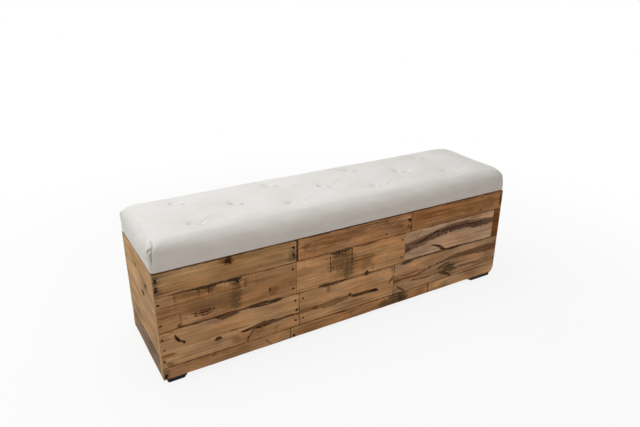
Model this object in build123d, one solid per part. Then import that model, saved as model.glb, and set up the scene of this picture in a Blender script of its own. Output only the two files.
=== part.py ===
from build123d import *
import math
import os

# Pallet bench: a storage box clad in reclaimed pallet boards, with a hinged upholstered lid.
# Millimetres. X runs along the bench, the front faces -Y and the floor is Z = 0. The pieces are
# laid out about the middle of the box, and moved at the end to the middle of the overall depth.

# Box and cladding. Rows are named from the top down, board lengths run from the left end,
# and in each row one board takes up the length that is left.
BENCH_LENGTH = 1400.0
BENCH_DEPTH = 356.0
BOARD_THICK = 18.0
TOP_ROW = 75.0
SECOND_ROW = 119.0
THIRD_ROW = 124.0
BOTTOM_ROW = 42.0
ROW_GAP = 0.7
BUTT_GAP = 0.8
FRONT_TOP_LENGTHS = (469.0, 468.0)
FRONT_SECOND_LENGTHS = (463.0, 452.0)
FILLER_STRIP = 36.0
FRONT_THIRD_LENGTHS = (471.0, 399.0)
FRONT_BOTTOM_LENGTHS = (436.0, 418.0, 189.0)
BACK_SHORT_BOARD = 480.0
END_LOW_BOARD = 75.0

# Posts, cleats behind the butt joints, and the floor of the storage box.
POST_SIZE = 40.0
POST_DROP = 6.0
CLEAT_THICK = 22.0
CLEAT_LAP = 20.0
FLOOR_THICK = 15.0

# Low oblong feet and the screws that hold them. The four are alike, each turned a quarter from the last.
FOOT_HEIGHT = 15.0
FOOT_LENGTH = 136.0
FOOT_WIDTH = 67.0
FOOT_END_SLOPE = 30.0
FOOT_SIDE_SLOPE = 10.0
FOOT_DRAFT = 1.5
FOOT_CORNER = 6.0
FOOT_END_INSET = 12.0
FOOT_FACE_INSET = 2.0
FOOT_SCREWS = 2
FOOT_SCREW_PITCH = 24.0
FOOT_SCREW_RECESS = 6.0
FOOT_SCREW_LENGTH = 45.0
FOOT_SCREW_SHANK = 4.0
FOOT_SCREW_HEAD = 8.4
FOOT_SCREW_HEAD_HEIGHT = 3.0
SCREW_CLEARANCE = 0.15

# Cladding nails, heads punched just under the face.
NAIL_SHANK = 2.2
NAIL_HEAD = 5.0
NAIL_HEAD_HEIGHT = 1.2
NAIL_LENGTH = 38.0
NAIL_SET = 0.3
NAIL_END_MARGIN = 14.0
NAIL_EDGE_MARGIN = 24.0
NAIL_SPACE = 4.0
SHORTEST_NAILED = 42.0
END_FLOOR_NAIL = 50.0

# Butt hinges along the back of the lid.
HINGE_INSET = 200.0
HINGE_LENGTH = 63.0
KNUCKLES = 5
KNUCKLE_RADIUS = 3.0
KNUCKLE_CLEARANCE = 0.2
KNUCKLE_GAP = 0.4
LEAF_WIDTH = 20.0
LEAF_THICK = 1.5
LEAF_GAP = 0.4
LEAF_SCREWS = 3
PIN_DIAMETER = 3.0
PIN_CLEARANCE = 0.05
PIN_HEAD = 4.6
PIN_HEAD_HEIGHT = 0.8
HINGE_SCREW_LINE = 12.2
HINGE_SCREW_PITCH = 21.0
HINGE_SCREW_SHANK = 3.0
HINGE_SCREW_HEAD = 5.6
BOX_SCREW_LENGTH = 25.0
LID_SCREW_LENGTH = 10.0

# Lid board, foam and cover. The foam has a bulged side, a round shoulder and a low crown.
LID_BOARD_THICK = 12.0
COVER_THICK = 1.2
COVER_TURN_UNDER = 32.0
FOAM_EDGE = 73.0
SHOULDER_RADIUS = 27.0
SIDE_BULGE = 2.0
CROWN_RISE = 5.0
CROWN_FLAT = 60.0
SEAT_CORNER = 10.0
SIDE_STEPS = 3
SHOULDER_STEPS = 5
CROWN_STEPS = 4

# Tufts in a diamond, each one tied down by a twine that is stapled under the lid board.
TUFT_INSET = 190.0
TUFT_SHIFT = -20.0
TUFT_ROW_OFFSET = 93.0
OUTER_ROW_TUFTS = 4
TUFT_RADIUS = 34.0
TUFT_DEPTH = 11.0
TUFT_PIT_RADIUS = 3.0
TWINE_DIAMETER = 2.4
TWINE_TAIL = 26.0
TWINE_HOLE = 6.0

# Staples under the lid and the rubber pads that keep its front edge off the rim.
STAPLE_CROWN = 10.0
STAPLE_WIRE = 1.0
STAPLE_LEG = 8.0
STAPLE_INSET = 25.0
STAPLE_PITCH = 68.0
PAD_DIAMETER = 12.0
PAD_INSET = 100.0
PAD_COUNT = 4
PAD_CLEARANCE = 0.2

# Levels and limits that follow from the sizes above.
ROWS = (TOP_ROW, SECOND_ROW, THIRD_ROW, BOTTOM_ROW)
ROW_NAMES = ("top", "second", "third", "bottom")
END_X = BENCH_LENGTH / 2
FACE_Y = BENCH_DEPTH / 2
INNER_X = END_X - BOARD_THICK
INNER_Y = FACE_Y - BOARD_THICK
POST_X = INNER_X - POST_SIZE / 2
POST_Y = INNER_Y - POST_SIZE / 2
RIM_Z = FOOT_HEIGHT + sum(ROWS) + ROW_GAP * (len(ROWS) - 1)
FLOOR_Z = FOOT_HEIGHT + FLOOR_THICK
POST_TOP_Z = RIM_Z - POST_DROP
COVER_Z = RIM_Z + 2 * LEAF_THICK + LEAF_GAP
LID_Z = COVER_Z + COVER_THICK
FOAM_Z = LID_Z + LID_BOARD_THICK
AXIS_Y = FACE_Y + KNUCKLE_RADIUS + KNUCKLE_CLEARANCE
AXIS_Z = RIM_Z + LEAF_THICK + LEAF_GAP / 2
LID_HALF_LENGTH = END_X - COVER_THICK
LID_HALF_DEPTH = FACE_Y - COVER_THICK
FRONT_REACH = FACE_Y + SIDE_BULGE
BACK_REACH = max(FRONT_REACH, AXIS_Y + KNUCKLE_RADIUS)
MIDDLE_Y = (BACK_REACH - FRONT_REACH) / 2

FROM_TOP = (Align.CENTER, Align.CENTER, Align.MAX)
FROM_BELOW = (Align.CENTER, Align.CENTER, Align.MIN)
FROM_CORNER = (Align.MIN, Align.MIN)

parts = {}


def block(x, y, z):
    """Box between a low and a high limit on each axis."""
    middle = Pos((x[0] + x[1]) / 2, (y[0] + y[1]) / 2, (z[0] + z[1]) / 2)
    return middle * Box(x[1] - x[0], y[1] - y[0], z[1] - z[0])


def group(pieces):
    """Separate solids kept together as one node."""
    return Compound([solid for piece in pieces for solid in piece.solids()])


def pin_along_x(radius, length):
    """Round bar lying along X, centred on the origin."""
    return Rot(0, 90, 0) * Cylinder(radius, length)


def spaced(count, pitch):
    """Positions of a row of equally spaced things, centred on zero."""
    return [(index - (count - 1) / 2) * pitch for index in range(count)]


def between_ends(count, inset):
    """Positions of a row of equally spaced things whose outer ones are inset from the bench's ends."""
    return spaced(count, 2 * (END_X - inset) / (count - 1))


def row_limits(heights):
    """Low and high Z of each row, from the top row down."""
    limits = []
    top = RIM_Z
    for height in heights:
        limits.append((top - height, top))
        top -= height + ROW_GAP
    return limits


def board_limits(lengths):
    """Low and high X of the boards of a row, from their nominal lengths."""
    limits = []
    left = -END_X
    for length in lengths:
        limits.append([left, left + length])
        left += length
    for board, neighbour in zip(limits, limits[1:]):
        board[1] -= BUTT_GAP / 2
        neighbour[0] += BUTT_GAP / 2
    return limits


def joints_of(lengths):
    """X of the butt joints of a row."""
    return [-END_X + sum(lengths[:count]) for count in range(1, len(lengths))]


def rest_of(*lengths):
    """Length left in a row beside the boards given."""
    return BENCH_LENGTH - sum(lengths)


front_lengths = (
    (*FRONT_TOP_LENGTHS, rest_of(*FRONT_TOP_LENGTHS)),
    (*FRONT_SECOND_LENGTHS, rest_of(*FRONT_SECOND_LENGTHS, FILLER_STRIP), FILLER_STRIP),
    (*FRONT_THIRD_LENGTHS, rest_of(*FRONT_THIRD_LENGTHS)),
    (*FRONT_BOTTOM_LENGTHS, rest_of(*FRONT_BOTTOM_LENGTHS)),
)
back_lengths = (
    (BACK_SHORT_BOARD, rest_of(BACK_SHORT_BOARD)),
    (rest_of(BACK_SHORT_BOARD), BACK_SHORT_BOARD),
    (BACK_SHORT_BOARD, rest_of(BACK_SHORT_BOARD)),
    (rest_of(BACK_SHORT_BOARD), BACK_SHORT_BOARD),
)

nails = []


def nail():
    """Flat-headed nail that points down, with the top of its head at the origin."""
    head = Cylinder(NAIL_HEAD / 2, NAIL_HEAD_HEIGHT, align=FROM_TOP)
    return head + Cylinder(NAIL_SHANK / 2, NAIL_LENGTH, align=FROM_TOP)


def nail_levels(low, high, is_bottom_row):
    """Heights of the nails at one end of a board; the bottom row is nailed to the floor's edge."""
    if is_bottom_row:
        return [FOOT_HEIGHT + FLOOR_THICK / 2]
    return [low + NAIL_EDGE_MARGIN, high - NAIL_EDGE_MARGIN]


def long_side(side, face, lengths_by_row):
    """Boards of the front (face -1) or the back (face 1), and their nails at the board ends."""
    y = sorted((face * INNER_Y, face * FACE_Y))
    nail_turn = Rot(-face * 90, 0, 0)
    nail_y = face * (FACE_Y - NAIL_SET)
    for row, z in enumerate(row_limits(ROWS)):
        boards = board_limits(lengths_by_row[row])
        for number, x in enumerate(boards, start=1):
            parts[f"{side}_{ROW_NAMES[row]}_board_{number}"] = block(x, y, z)
            columns = []
            is_short = x[1] - x[0] < SHORTEST_NAILED
            if number == 1:
                columns.append(x[0] + BOARD_THICK / 2)
            elif not is_short:
                columns.append(x[0] + NAIL_END_MARGIN)
            if number == len(boards):
                columns.append(x[1] - BOARD_THICK / 2)
            elif not is_short:
                columns.append(x[1] - NAIL_END_MARGIN)
            for nail_x in columns:
                for nail_z in nail_levels(*z, row == len(ROWS) - 1):
                    nails.append(Pos(nail_x, nail_y, nail_z) * nail_turn * nail())


def end_side(side, face):
    """Boards of the left (face -1) or right (face 1) end, between the front and back boards.

    Their nails go into the posts, clear of the tips of the front and back nails, and into the floor's edge.
    """
    high_board = (RIM_Z - FOOT_HEIGHT - END_LOW_BOARD - 2 * ROW_GAP) / 2
    x = sorted((face * INNER_X, face * END_X))
    nail_x = face * (END_X - NAIL_SET)
    post_line = FACE_Y - NAIL_SET - NAIL_LENGTH - NAIL_SPACE
    nail_places = [(END_FLOOR_NAIL, FOOT_HEIGHT + FLOOR_THICK / 2)]
    for name, z in zip(("top", "middle", "low"), row_limits((high_board, high_board, END_LOW_BOARD))):
        parts[f"{side}_end_{name}_board"] = block(x, (-INNER_Y, INNER_Y), z)
        nail_places.append((post_line, z[1] - NAIL_EDGE_MARGIN))
        if name != "low":
            nail_places.append((post_line, z[0] + NAIL_EDGE_MARGIN))
    for nail_y, nail_z in nail_places:
        nails.append(Pos(nail_x, nail_y, nail_z) * Rot(0, face * 90, 0) * nail())
        nails.append(Pos(nail_x, -nail_y, nail_z) * Rot(0, face * 90, 0) * nail())


def cleat(joints, face):
    """Upright cleat that backs a column of butt joints and laps past the outermost of them."""
    y = sorted((face * INNER_Y, face * (INNER_Y - CLEAT_THICK)))
    return block((min(joints) - CLEAT_LAP, max(joints) + CLEAT_LAP), y, (FLOOR_Z, POST_TOP_Z))


def foot():
    """Low foot with its outer corner at the origin; its inner end and inner side slope in to the floor."""
    top = RectangleRounded(FOOT_WIDTH, FOOT_LENGTH, FOOT_CORNER, align=FROM_CORNER)
    base_width = FOOT_WIDTH - FOOT_DRAFT - FOOT_SIDE_SLOPE
    base_length = FOOT_LENGTH - FOOT_DRAFT - FOOT_END_SLOPE
    base = RectangleRounded(base_width, base_length, FOOT_CORNER, align=FROM_CORNER)
    return loft([Pos(FOOT_DRAFT, FOOT_DRAFT, 0) * base, Pos(0, 0, FOOT_HEIGHT) * top], ruled=True)


def foot_screw():
    """Pan head screw that points up, with its head's underside at the origin."""
    head = Cylinder(FOOT_SCREW_HEAD / 2, FOOT_SCREW_HEAD_HEIGHT, align=FROM_TOP)
    return head + Cylinder(FOOT_SCREW_SHANK / 2, FOOT_SCREW_LENGTH, align=FROM_BELOW)


def foot_screw_hole():
    """Clearance for a foot screw and its head, from the floor up through the foot."""
    head_room = Cylinder(FOOT_SCREW_HEAD / 2 + SCREW_CLEARANCE, FOOT_SCREW_RECESS, align=FROM_TOP)
    return head_room + Cylinder(FOOT_SCREW_SHANK / 2 + SCREW_CLEARANCE, FOOT_HEIGHT, align=FROM_BELOW)


def countersunk_screw(length, clearance=0.0):
    """Countersunk screw, or its hole, that points down from the face of a hinge leaf."""
    shank = HINGE_SCREW_SHANK / 2 + clearance
    head = Cone(shank, HINGE_SCREW_HEAD / 2 + clearance, LEAF_THICK, align=FROM_TOP)
    return head + Cylinder(shank, length, align=FROM_TOP)


def hinge_screw_places(middle_x):
    """X and Y of the screws of a hinge leaf."""
    return [(middle_x + step, AXIS_Y - HINGE_SCREW_LINE) for step in spaced(LEAF_SCREWS, HINGE_SCREW_PITCH)]


def hinge_leaf(middle_x, low_z, own_knuckles):
    """Leaf with its share of the knuckles, cut back round those of the other leaf."""
    pitch = HINGE_LENGTH / KNUCKLES
    ends = (middle_x - HINGE_LENGTH / 2, middle_x + HINGE_LENGTH / 2)
    leaf = block(ends, (AXIS_Y - LEAF_WIDTH, AXIS_Y), (low_z, low_z + LEAF_THICK))
    for index, step in enumerate(spaced(KNUCKLES, pitch)):
        place = Pos(middle_x + step, AXIS_Y, AXIS_Z)
        if index in own_knuckles:
            leaf += place * pin_along_x(KNUCKLE_RADIUS, pitch - KNUCKLE_GAP)
        else:
            leaf -= place * pin_along_x(KNUCKLE_RADIUS + KNUCKLE_CLEARANCE, pitch)
    bore = pin_along_x(PIN_DIAMETER / 2 + PIN_CLEARANCE, HINGE_LENGTH)
    return leaf - Pos(middle_x, AXIS_Y, AXIS_Z) * bore


def hinge_pin(middle_x):
    """Pin through the knuckles, with a flat head at one end and a burred one at the other."""
    pin = pin_along_x(PIN_DIAMETER / 2, HINGE_LENGTH)
    for side in (-1, 1):
        head = pin_along_x(PIN_HEAD / 2, PIN_HEAD_HEIGHT)
        pin += Pos(side * (HINGE_LENGTH + PIN_HEAD_HEIGHT) / 2, 0, 0) * head
    return Pos(middle_x, AXIS_Y, AXIS_Z) * pin


def seat_outline(inset, grow, corner):
    """Rounded rectangle of the seat, set in from the edge of the lid board."""
    half_length = LID_HALF_LENGTH - inset + grow
    half_depth = LID_HALF_DEPTH - inset + grow
    return RectangleRounded(2 * half_length, 2 * half_depth, corner + grow)


def tuft_tool():
    """Solid above a tuft: the padding rolls over an arc into a small flat pit."""
    rim = (TUFT_RADIUS, 0)
    pit = (TUFT_PIT_RADIUS, -TUFT_DEPTH)
    roll = TangentArc(rim, pit, tangent=(-1, 0))
    closing = Polyline(pit, (0, -TUFT_DEPTH), (0, TUFT_DEPTH), (TUFT_RADIUS, TUFT_DEPTH), rim)
    return revolve(make_face(Plane.XZ * (Curve() + [roll, closing])), Axis.Z)


def seat_form(grow):
    """Padded form on the lid board: the foam, or with grow the outside of its cover."""
    shoulder_z = FOAM_EDGE - SHOULDER_RADIUS
    shoulder_run = SHOULDER_RADIUS - SIDE_BULGE
    crown_run = LID_HALF_DEPTH - CROWN_FLAT - shoulder_run
    sections = [seat_outline(0, grow, SEAT_CORNER)]
    for step in range(1, SIDE_STEPS):
        share = step / SIDE_STEPS
        outline = seat_outline(-SIDE_BULGE * math.sin(math.radians(90 * share)), grow, SEAT_CORNER)
        sections.append(Pos(0, 0, (shoulder_z + grow) * share) * outline)
    for step in range(SHOULDER_STEPS + 1):
        turn = math.radians(90 * step / SHOULDER_STEPS)
        rise = SHOULDER_RADIUS * math.sin(turn)
        inset = SHOULDER_RADIUS * (1 - math.cos(turn)) - SIDE_BULGE
        sections.append(Pos(0, 0, shoulder_z + rise + grow) * seat_outline(inset, grow, SEAT_CORNER + rise))
    for step in range(1, CROWN_STEPS + 1):
        share = step / CROWN_STEPS
        rise = CROWN_RISE * share * (2 - share)
        outline = seat_outline(shoulder_run + crown_run * share, grow, SEAT_CORNER + SHOULDER_RADIUS)
        sections.append(Pos(0, 0, FOAM_EDGE + rise + grow) * outline)
    top_z = FOAM_EDGE + CROWN_RISE + grow
    return loft(sections, ruled=True) - [Pos(x, y, top_z) * tuft_tool() for x, y in tuft_places]


def staple(drop=0.0):
    """Staple under the lid, legs up, with its crown drop below the origin and along X."""
    wire = STAPLE_WIRE / 2
    reach = STAPLE_CROWN / 2
    shape = block((-reach, reach), (-wire, wire), (-drop - STAPLE_WIRE, -drop))
    for side in (-1, 1):
        leg_x = sorted((side * reach, side * (reach - STAPLE_WIRE)))
        shape += block(leg_x, (-wire, wire), (-drop - STAPLE_WIRE, STAPLE_LEG))
    return shape


# Cladding
long_side("front", -1, front_lengths)
long_side("back", 1, back_lengths)
end_side("left", -1)
end_side("right", 1)
parts["cladding_nails"] = group(nails)

# Floor, corner posts and cleats
parts["floor_panel"] = block((-INNER_X, INNER_X), (-INNER_Y, INNER_Y), (FOOT_HEIGHT, FLOOR_Z))
corners = (
    ("front", "left", -1, -1),
    ("front", "right", 1, -1),
    ("back", "right", 1, 1),
    ("back", "left", -1, 1),
)
for depth, side, x, y in corners:
    post = Box(POST_SIZE, POST_SIZE, POST_TOP_Z - FLOOR_Z, align=FROM_BELOW)
    parts[f"{depth}_{side}_post"] = Pos(x * POST_X, y * POST_Y, FLOOR_Z) * post
for index, side in enumerate(("left", "right")):
    parts[f"front_{side}_cleat"] = cleat([joints_of(lengths)[index] for lengths in front_lengths], -1)
    parts[f"back_{side}_cleat"] = cleat(joints_of(back_lengths[index]), 1)

# Feet, each with two screws up through the floor into its post
foot_screws = []
for quarter, (depth, side, x, y) in enumerate(corners):
    corner = Pos(x * (END_X - FOOT_END_INSET), y * (FACE_Y - FOOT_FACE_INSET), 0) * Rot(0, 0, 90 * quarter)
    steps = spaced(FOOT_SCREWS, FOOT_SCREW_PITCH)
    places = [Pos(x * POST_X + step, y * POST_Y, FOOT_SCREW_RECESS) for step in steps]
    parts[f"{depth}_{side}_foot"] = corner * foot() - [place * foot_screw_hole() for place in places]
    foot_screws += [place * foot_screw() for place in places]
parts["foot_screws"] = group(foot_screws)

# Hinges. The box leaf lies on the top edge of the back boards, the lid leaf under the lid.
box_screws = []
lid_screws = []
pins = []
lid_leaf_z = COVER_Z - LEAF_THICK
hinge_sides = ("left", "middle", "right")
for side, middle_x in zip(hinge_sides, between_ends(len(hinge_sides), HINGE_INSET)):
    box_places = [Pos(x, y, RIM_Z + LEAF_THICK) for x, y in hinge_screw_places(middle_x)]
    lid_places = [Pos(x, y, lid_leaf_z) * Rot(180, 0, 0) for x, y in hinge_screw_places(middle_x)]
    box_holes = [place * countersunk_screw(LEAF_THICK, SCREW_CLEARANCE) for place in box_places]
    lid_holes = [place * countersunk_screw(LEAF_THICK, SCREW_CLEARANCE) for place in lid_places]
    parts[f"{side}_hinge_box_leaf"] = hinge_leaf(middle_x, RIM_Z, range(0, KNUCKLES, 2)) - box_holes
    parts[f"{side}_hinge_lid_leaf"] = hinge_leaf(middle_x, lid_leaf_z, range(1, KNUCKLES, 2)) - lid_holes
    box_screws += [place * countersunk_screw(BOX_SCREW_LENGTH) for place in box_places]
    lid_screws += [place * countersunk_screw(LID_SCREW_LENGTH) for place in lid_places]
    pins.append(hinge_pin(middle_x))
parts["hinge_pins"] = group(pins)
parts["box_hinge_screws"] = group(box_screws)
parts["lid_hinge_screws"] = group(lid_screws)

# Lid board, foam and cover
outer_row = [x + TUFT_SHIFT for x in between_ends(OUTER_ROW_TUFTS, TUFT_INSET)]
middle_row = [(x + next_x) / 2 for x, next_x in zip(outer_row, outer_row[1:])]
tuft_places = [(x, y) for y in (-TUFT_ROW_OFFSET, TUFT_ROW_OFFSET) for x in outer_row]
tuft_places += [(x, 0) for x in middle_row]
lid_blank = Pos(0, 0, LID_Z) * extrude(seat_outline(0, 0, SEAT_CORNER), LID_BOARD_THICK)
twine_hole = Cylinder(TWINE_HOLE / 2, LID_BOARD_THICK, align=FROM_BELOW)
parts["lid_board"] = lid_blank - [Pos(x, y, LID_Z) * twine_hole for x, y in tuft_places]
parts["seat_foam"] = Pos(0, 0, FOAM_Z) * seat_form(0)
skirt_height = LID_BOARD_THICK + COVER_THICK
skirt = Pos(0, 0, COVER_Z) * extrude(seat_outline(0, COVER_THICK, SEAT_CORNER), skirt_height)
opening_x = LID_HALF_LENGTH - COVER_TURN_UNDER
opening_y = LID_HALF_DEPTH - COVER_TURN_UNDER
opening = block((-opening_x, opening_x), (-opening_y, opening_y), (COVER_Z, LID_Z))
covered = Pos(0, 0, FOAM_Z) * seat_form(COVER_THICK) + skirt
parts["seat_cover"] = covered - parts["seat_foam"] - lid_blank - opening

# Tufting twine: straight down through foam and board, then a tail under the board
twines = []
twine_top = FOAM_Z + FOAM_EDGE + CROWN_RISE - TUFT_DEPTH
for x, y in tuft_places:
    low = LID_Z - TWINE_DIAMETER
    drop = Cylinder(TWINE_DIAMETER / 2, twine_top - low, align=FROM_BELOW)
    tail = Pos(TWINE_TAIL / 2, 0, TWINE_DIAMETER / 2) * pin_along_x(TWINE_DIAMETER / 2, TWINE_TAIL)
    twines.append(Pos(x, y, low) * (drop + tail))
parts["tuft_twine"] = group(twines)

# Staples along the turned-under edge of the cover and over the twine tails
tie = Rot(0, 0, 90) * staple(TWINE_DIAMETER)
staples = [Pos(x + TWINE_TAIL / 2, y, LID_Z) * tie for x, y in tuft_places]
staple_x = LID_HALF_LENGTH - STAPLE_INSET
staple_y = LID_HALF_DEPTH - STAPLE_INSET
along = int(2 * (staple_x - STAPLE_INSET) / STAPLE_PITCH) + 1
across = int(2 * (staple_y - STAPLE_INSET) / STAPLE_PITCH) + 1
crosswise = Rot(0, 0, 90) * staple()
for face in (-1, 1):
    staples += [Pos(x, face * staple_y, COVER_Z) * staple() for x in spaced(along, STAPLE_PITCH)]
    staples += [Pos(face * staple_x, y, COVER_Z) * crosswise for y in spaced(across, STAPLE_PITCH)]
parts["lid_staples"] = group(staples)

# Rubber pads under the front edge of the lid
pad = Cylinder(PAD_DIAMETER / 2, COVER_Z - RIM_Z - PAD_CLEARANCE, align=FROM_TOP)
pad_y = -(FACE_Y - BOARD_THICK / 2)
parts["lid_pads"] = group([Pos(x, pad_y, COVER_Z) * pad for x in between_ends(PAD_COUNT, PAD_INSET)])

os.makedirs("parts", exist_ok=True)
for name, shape in parts.items():
    export_step(Pos(0, -MIDDLE_Y, 0) * shape, f"parts/{name}.step")
print(len(parts), "parts written")
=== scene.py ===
import bmesh
import bpy
import numpy as np
from mathutils import Matrix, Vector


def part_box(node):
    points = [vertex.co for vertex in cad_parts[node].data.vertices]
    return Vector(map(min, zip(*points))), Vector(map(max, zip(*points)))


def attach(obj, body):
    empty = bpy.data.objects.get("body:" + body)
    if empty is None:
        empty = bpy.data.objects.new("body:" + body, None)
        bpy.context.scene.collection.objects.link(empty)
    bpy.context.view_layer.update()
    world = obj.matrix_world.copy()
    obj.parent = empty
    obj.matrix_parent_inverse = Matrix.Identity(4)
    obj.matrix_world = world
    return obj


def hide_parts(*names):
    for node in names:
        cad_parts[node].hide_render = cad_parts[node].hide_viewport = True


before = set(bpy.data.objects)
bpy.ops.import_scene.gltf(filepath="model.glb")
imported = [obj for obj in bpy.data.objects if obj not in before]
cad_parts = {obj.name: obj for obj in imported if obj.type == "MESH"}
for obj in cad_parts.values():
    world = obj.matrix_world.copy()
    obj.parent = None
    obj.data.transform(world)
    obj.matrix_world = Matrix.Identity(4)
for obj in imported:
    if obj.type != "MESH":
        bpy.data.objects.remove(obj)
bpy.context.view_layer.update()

# Inner frame: four corner posts, four cleats behind the butt joints and a floor panel.
# Planed softwood battens and a sheet of plywood, nailed together from outside.
TIMBER_PALE = (214, 180, 134)
TIMBER_DARK = (176, 132, 84)
CORNERS = ("front_left", "front_right", "back_left", "back_right")


def paint(red, green, blue):
    """Linear colour of an sRGB colour that is given as three numbers from 0 to 255."""
    share = np.array([red, green, blue]) / 255
    linear = np.where(share <= 0.04045, share / 12.92, ((share + 0.055) / 1.055) ** 2.4)
    return (*linear.tolist(), 1.0)


class Wire:
    """A socket of a material: arithmetic on it adds Math nodes, and node() adds any other node."""

    def __init__(self, tree, socket):
        self.tree = tree
        self.socket = socket

    def node(self, kind, settings, inputs, output=0):
        """Adds a node, its settings first and then a value or a link for each socket named."""
        made = self.tree.nodes.new(kind)
        for key, value in settings.items():
            if key == "stops":
                set_stops(made.color_ramp, value)
            else:
                setattr(made, key, value)
        for key, value in inputs.items():
            if isinstance(value, Wire):
                self.tree.links.new(value.socket, made.inputs[key])
            else:
                made.inputs[key].default_value = value
        return Wire(self.tree, made.outputs[output])

    def other(self, output):
        """Another output of the same node."""
        return Wire(self.tree, self.socket.node.outputs[output])

    def math(self, operation, *values):
        """Math node with this value first."""
        return self.node("ShaderNodeMath", {"operation": operation}, dict(enumerate((self, *values))))

    def __add__(self, value):
        return self.math("ADD", value)

    __radd__ = __add__

    def __sub__(self, value):
        return self.math("SUBTRACT", value)

    def __rsub__(self, value):
        return self.math("MULTIPLY_ADD", -1.0, value)

    def __mul__(self, value):
        return self.math("MULTIPLY", value)

    __rmul__ = __mul__

    def __truediv__(self, value):
        return self.math("DIVIDE", value)

    def __abs__(self):
        return self.math("ABSOLUTE")

    def step(self, zero, one):
        """Smooth step that is 0 at the first value and 1 at the second."""
        limits = {"Value": self, "From Min": zero, "From Max": one}
        return self.node("ShaderNodeMapRange", {"interpolation_type": "SMOOTHSTEP"}, limits)

    def mix(self, first, second, blend="MIX"):
        """Colour that goes from the first to the second by this share."""
        settings = {"data_type": "RGBA", "blend_type": blend}
        return self.node("ShaderNodeMix", settings, {0: self, 6: first, 7: second}, 2)

    def scaled(self, share):
        """This colour or vector times a share."""
        return self.node("ShaderNodeVectorMath", {"operation": "SCALE"}, {0: self, "Scale": share})

    def noise(self, stretch, seed, detail=2.0):
        """Noise from 0 to 1 on this vector; stretch is its wavelength on each axis."""
        rates = tuple(1 / length for length in stretch)
        settings = {"operation": "MULTIPLY_ADD"}
        shift = (seed, 0.37 * seed, 0.0)
        moved = self.node("ShaderNodeVectorMath", settings, {0: self, 1: rates, 2: shift})
        return self.node("ShaderNodeTexNoise", {}, {"Vector": moved, "Scale": 1.0, "Detail": detail})

    def parts(self):
        """The three numbers of this vector."""
        first = self.node("ShaderNodeSeparateXYZ", {}, {0: self})
        return first, first.other(1), first.other(2)

    def joined(self, second, third):
        """Vector of this number and two more."""
        return self.node("ShaderNodeCombineXYZ", {}, {0: self, 1: second, 2: third})


def set_stops(ramp, stops):
    """Puts (place, colour) stops on a ramp, in rising order, with a smooth curve through them."""
    ramp.interpolation = "CARDINAL"
    ramp.elements[0].position = stops[0][0]
    ramp.elements[1].position = stops[-1][0]
    for place, _ in stops[1:-1]:
        ramp.elements.new(place)
    for element, (_, colour) in zip(ramp.elements, stops):
        element.color = colour


def source(tree, kind, output):
    """Output of a new node that needs no inputs."""
    return Wire(tree, tree.nodes.new(kind).outputs[output])


def new_finish(name):
    """New material: itself, its Principled shader, and its Object coordinates in millimetres."""
    material = bpy.data.materials.new(name)
    material.use_nodes = True
    tree = material.node_tree
    place = source(tree, "ShaderNodeTexCoord", "Object")
    return material, tree.nodes["Principled BSDF"], place.scaled(1000.0)


def feed(shader, colour, roughness, height, relief):
    """Links colour and roughness to the shader, and a bump whose height of 1 is relief metres tall."""
    levels = {"Height": height, "Distance": relief, "Strength": 1.0}
    bump = colour.node("ShaderNodeBump", {}, levels, "Normal")
    for name, wire in (("Base Color", colour), ("Roughness", roughness), ("Normal", bump)):
        colour.tree.links.new(wire.socket, shader.inputs[name])


def wear(node, material):
    """Gives a CAD node its finish."""
    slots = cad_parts[node].data.materials
    slots.clear()
    slots.append(material)


def along_fibres(axis, length, width):
    """Wavelengths of a pattern that is long on one axis and narrow on the other two."""
    return [length if number == axis else width for number in range(3)]


def planed_timber(name, fibre_axis, seed):
    """Pale softwood: year rings round a far pith, with fibres along one axis of the bench."""
    material, shader, place = new_finish(name)
    band = place.noise(along_fibres(fibre_axis, 300.0, 9.0), seed, 3.0)
    fibre = place.noise(along_fibres(fibre_axis, 60.0, 1.2), seed + 3.0)
    sweep = place.noise(along_fibres(fibre_axis, 900.0, 27.0), seed + 7.0)
    ring = (band * 9.0 + sweep * 6.0).math("FRACT")
    late = ring.step(0.3, 0.9) * ring.step(1.0, 0.92)
    colour = (late * 0.6).mix(paint(*TIMBER_PALE), paint(*TIMBER_DARK)).scaled(fibre * 0.5 + 0.75)
    feed(shader, colour, 0.62 + 0.2 * fibre, fibre * 0.7 + late * 0.3, 0.00025)
    return material


upright_timber = planed_timber("upright_timber", 2, 1.0)
for corner in CORNERS:
    wear(f"{corner}_post", upright_timber)
    wear(f"{corner}_cleat", upright_timber)
wear("floor_panel", planed_timber("plywood_face", 0, 12.0))

# Cladding boards: reclaimed pallet softwood, sawn on the face, worn round along the edges.
# They butt end to end in rows and are nailed to the posts, the cleats and the floor's edge.
RIM = 1000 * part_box("front_top_board_1")[1].z
FRONT_FACE = round(-1000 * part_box("front_top_board_1")[0].y, 1)
BACK_FACE = round(1000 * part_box("back_top_board_1")[1].y, 1)
END_FACE = round(1000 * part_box("right_end_top_board")[1].x, 1)
BENCH_LENGTH = 2 * END_FACE
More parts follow.
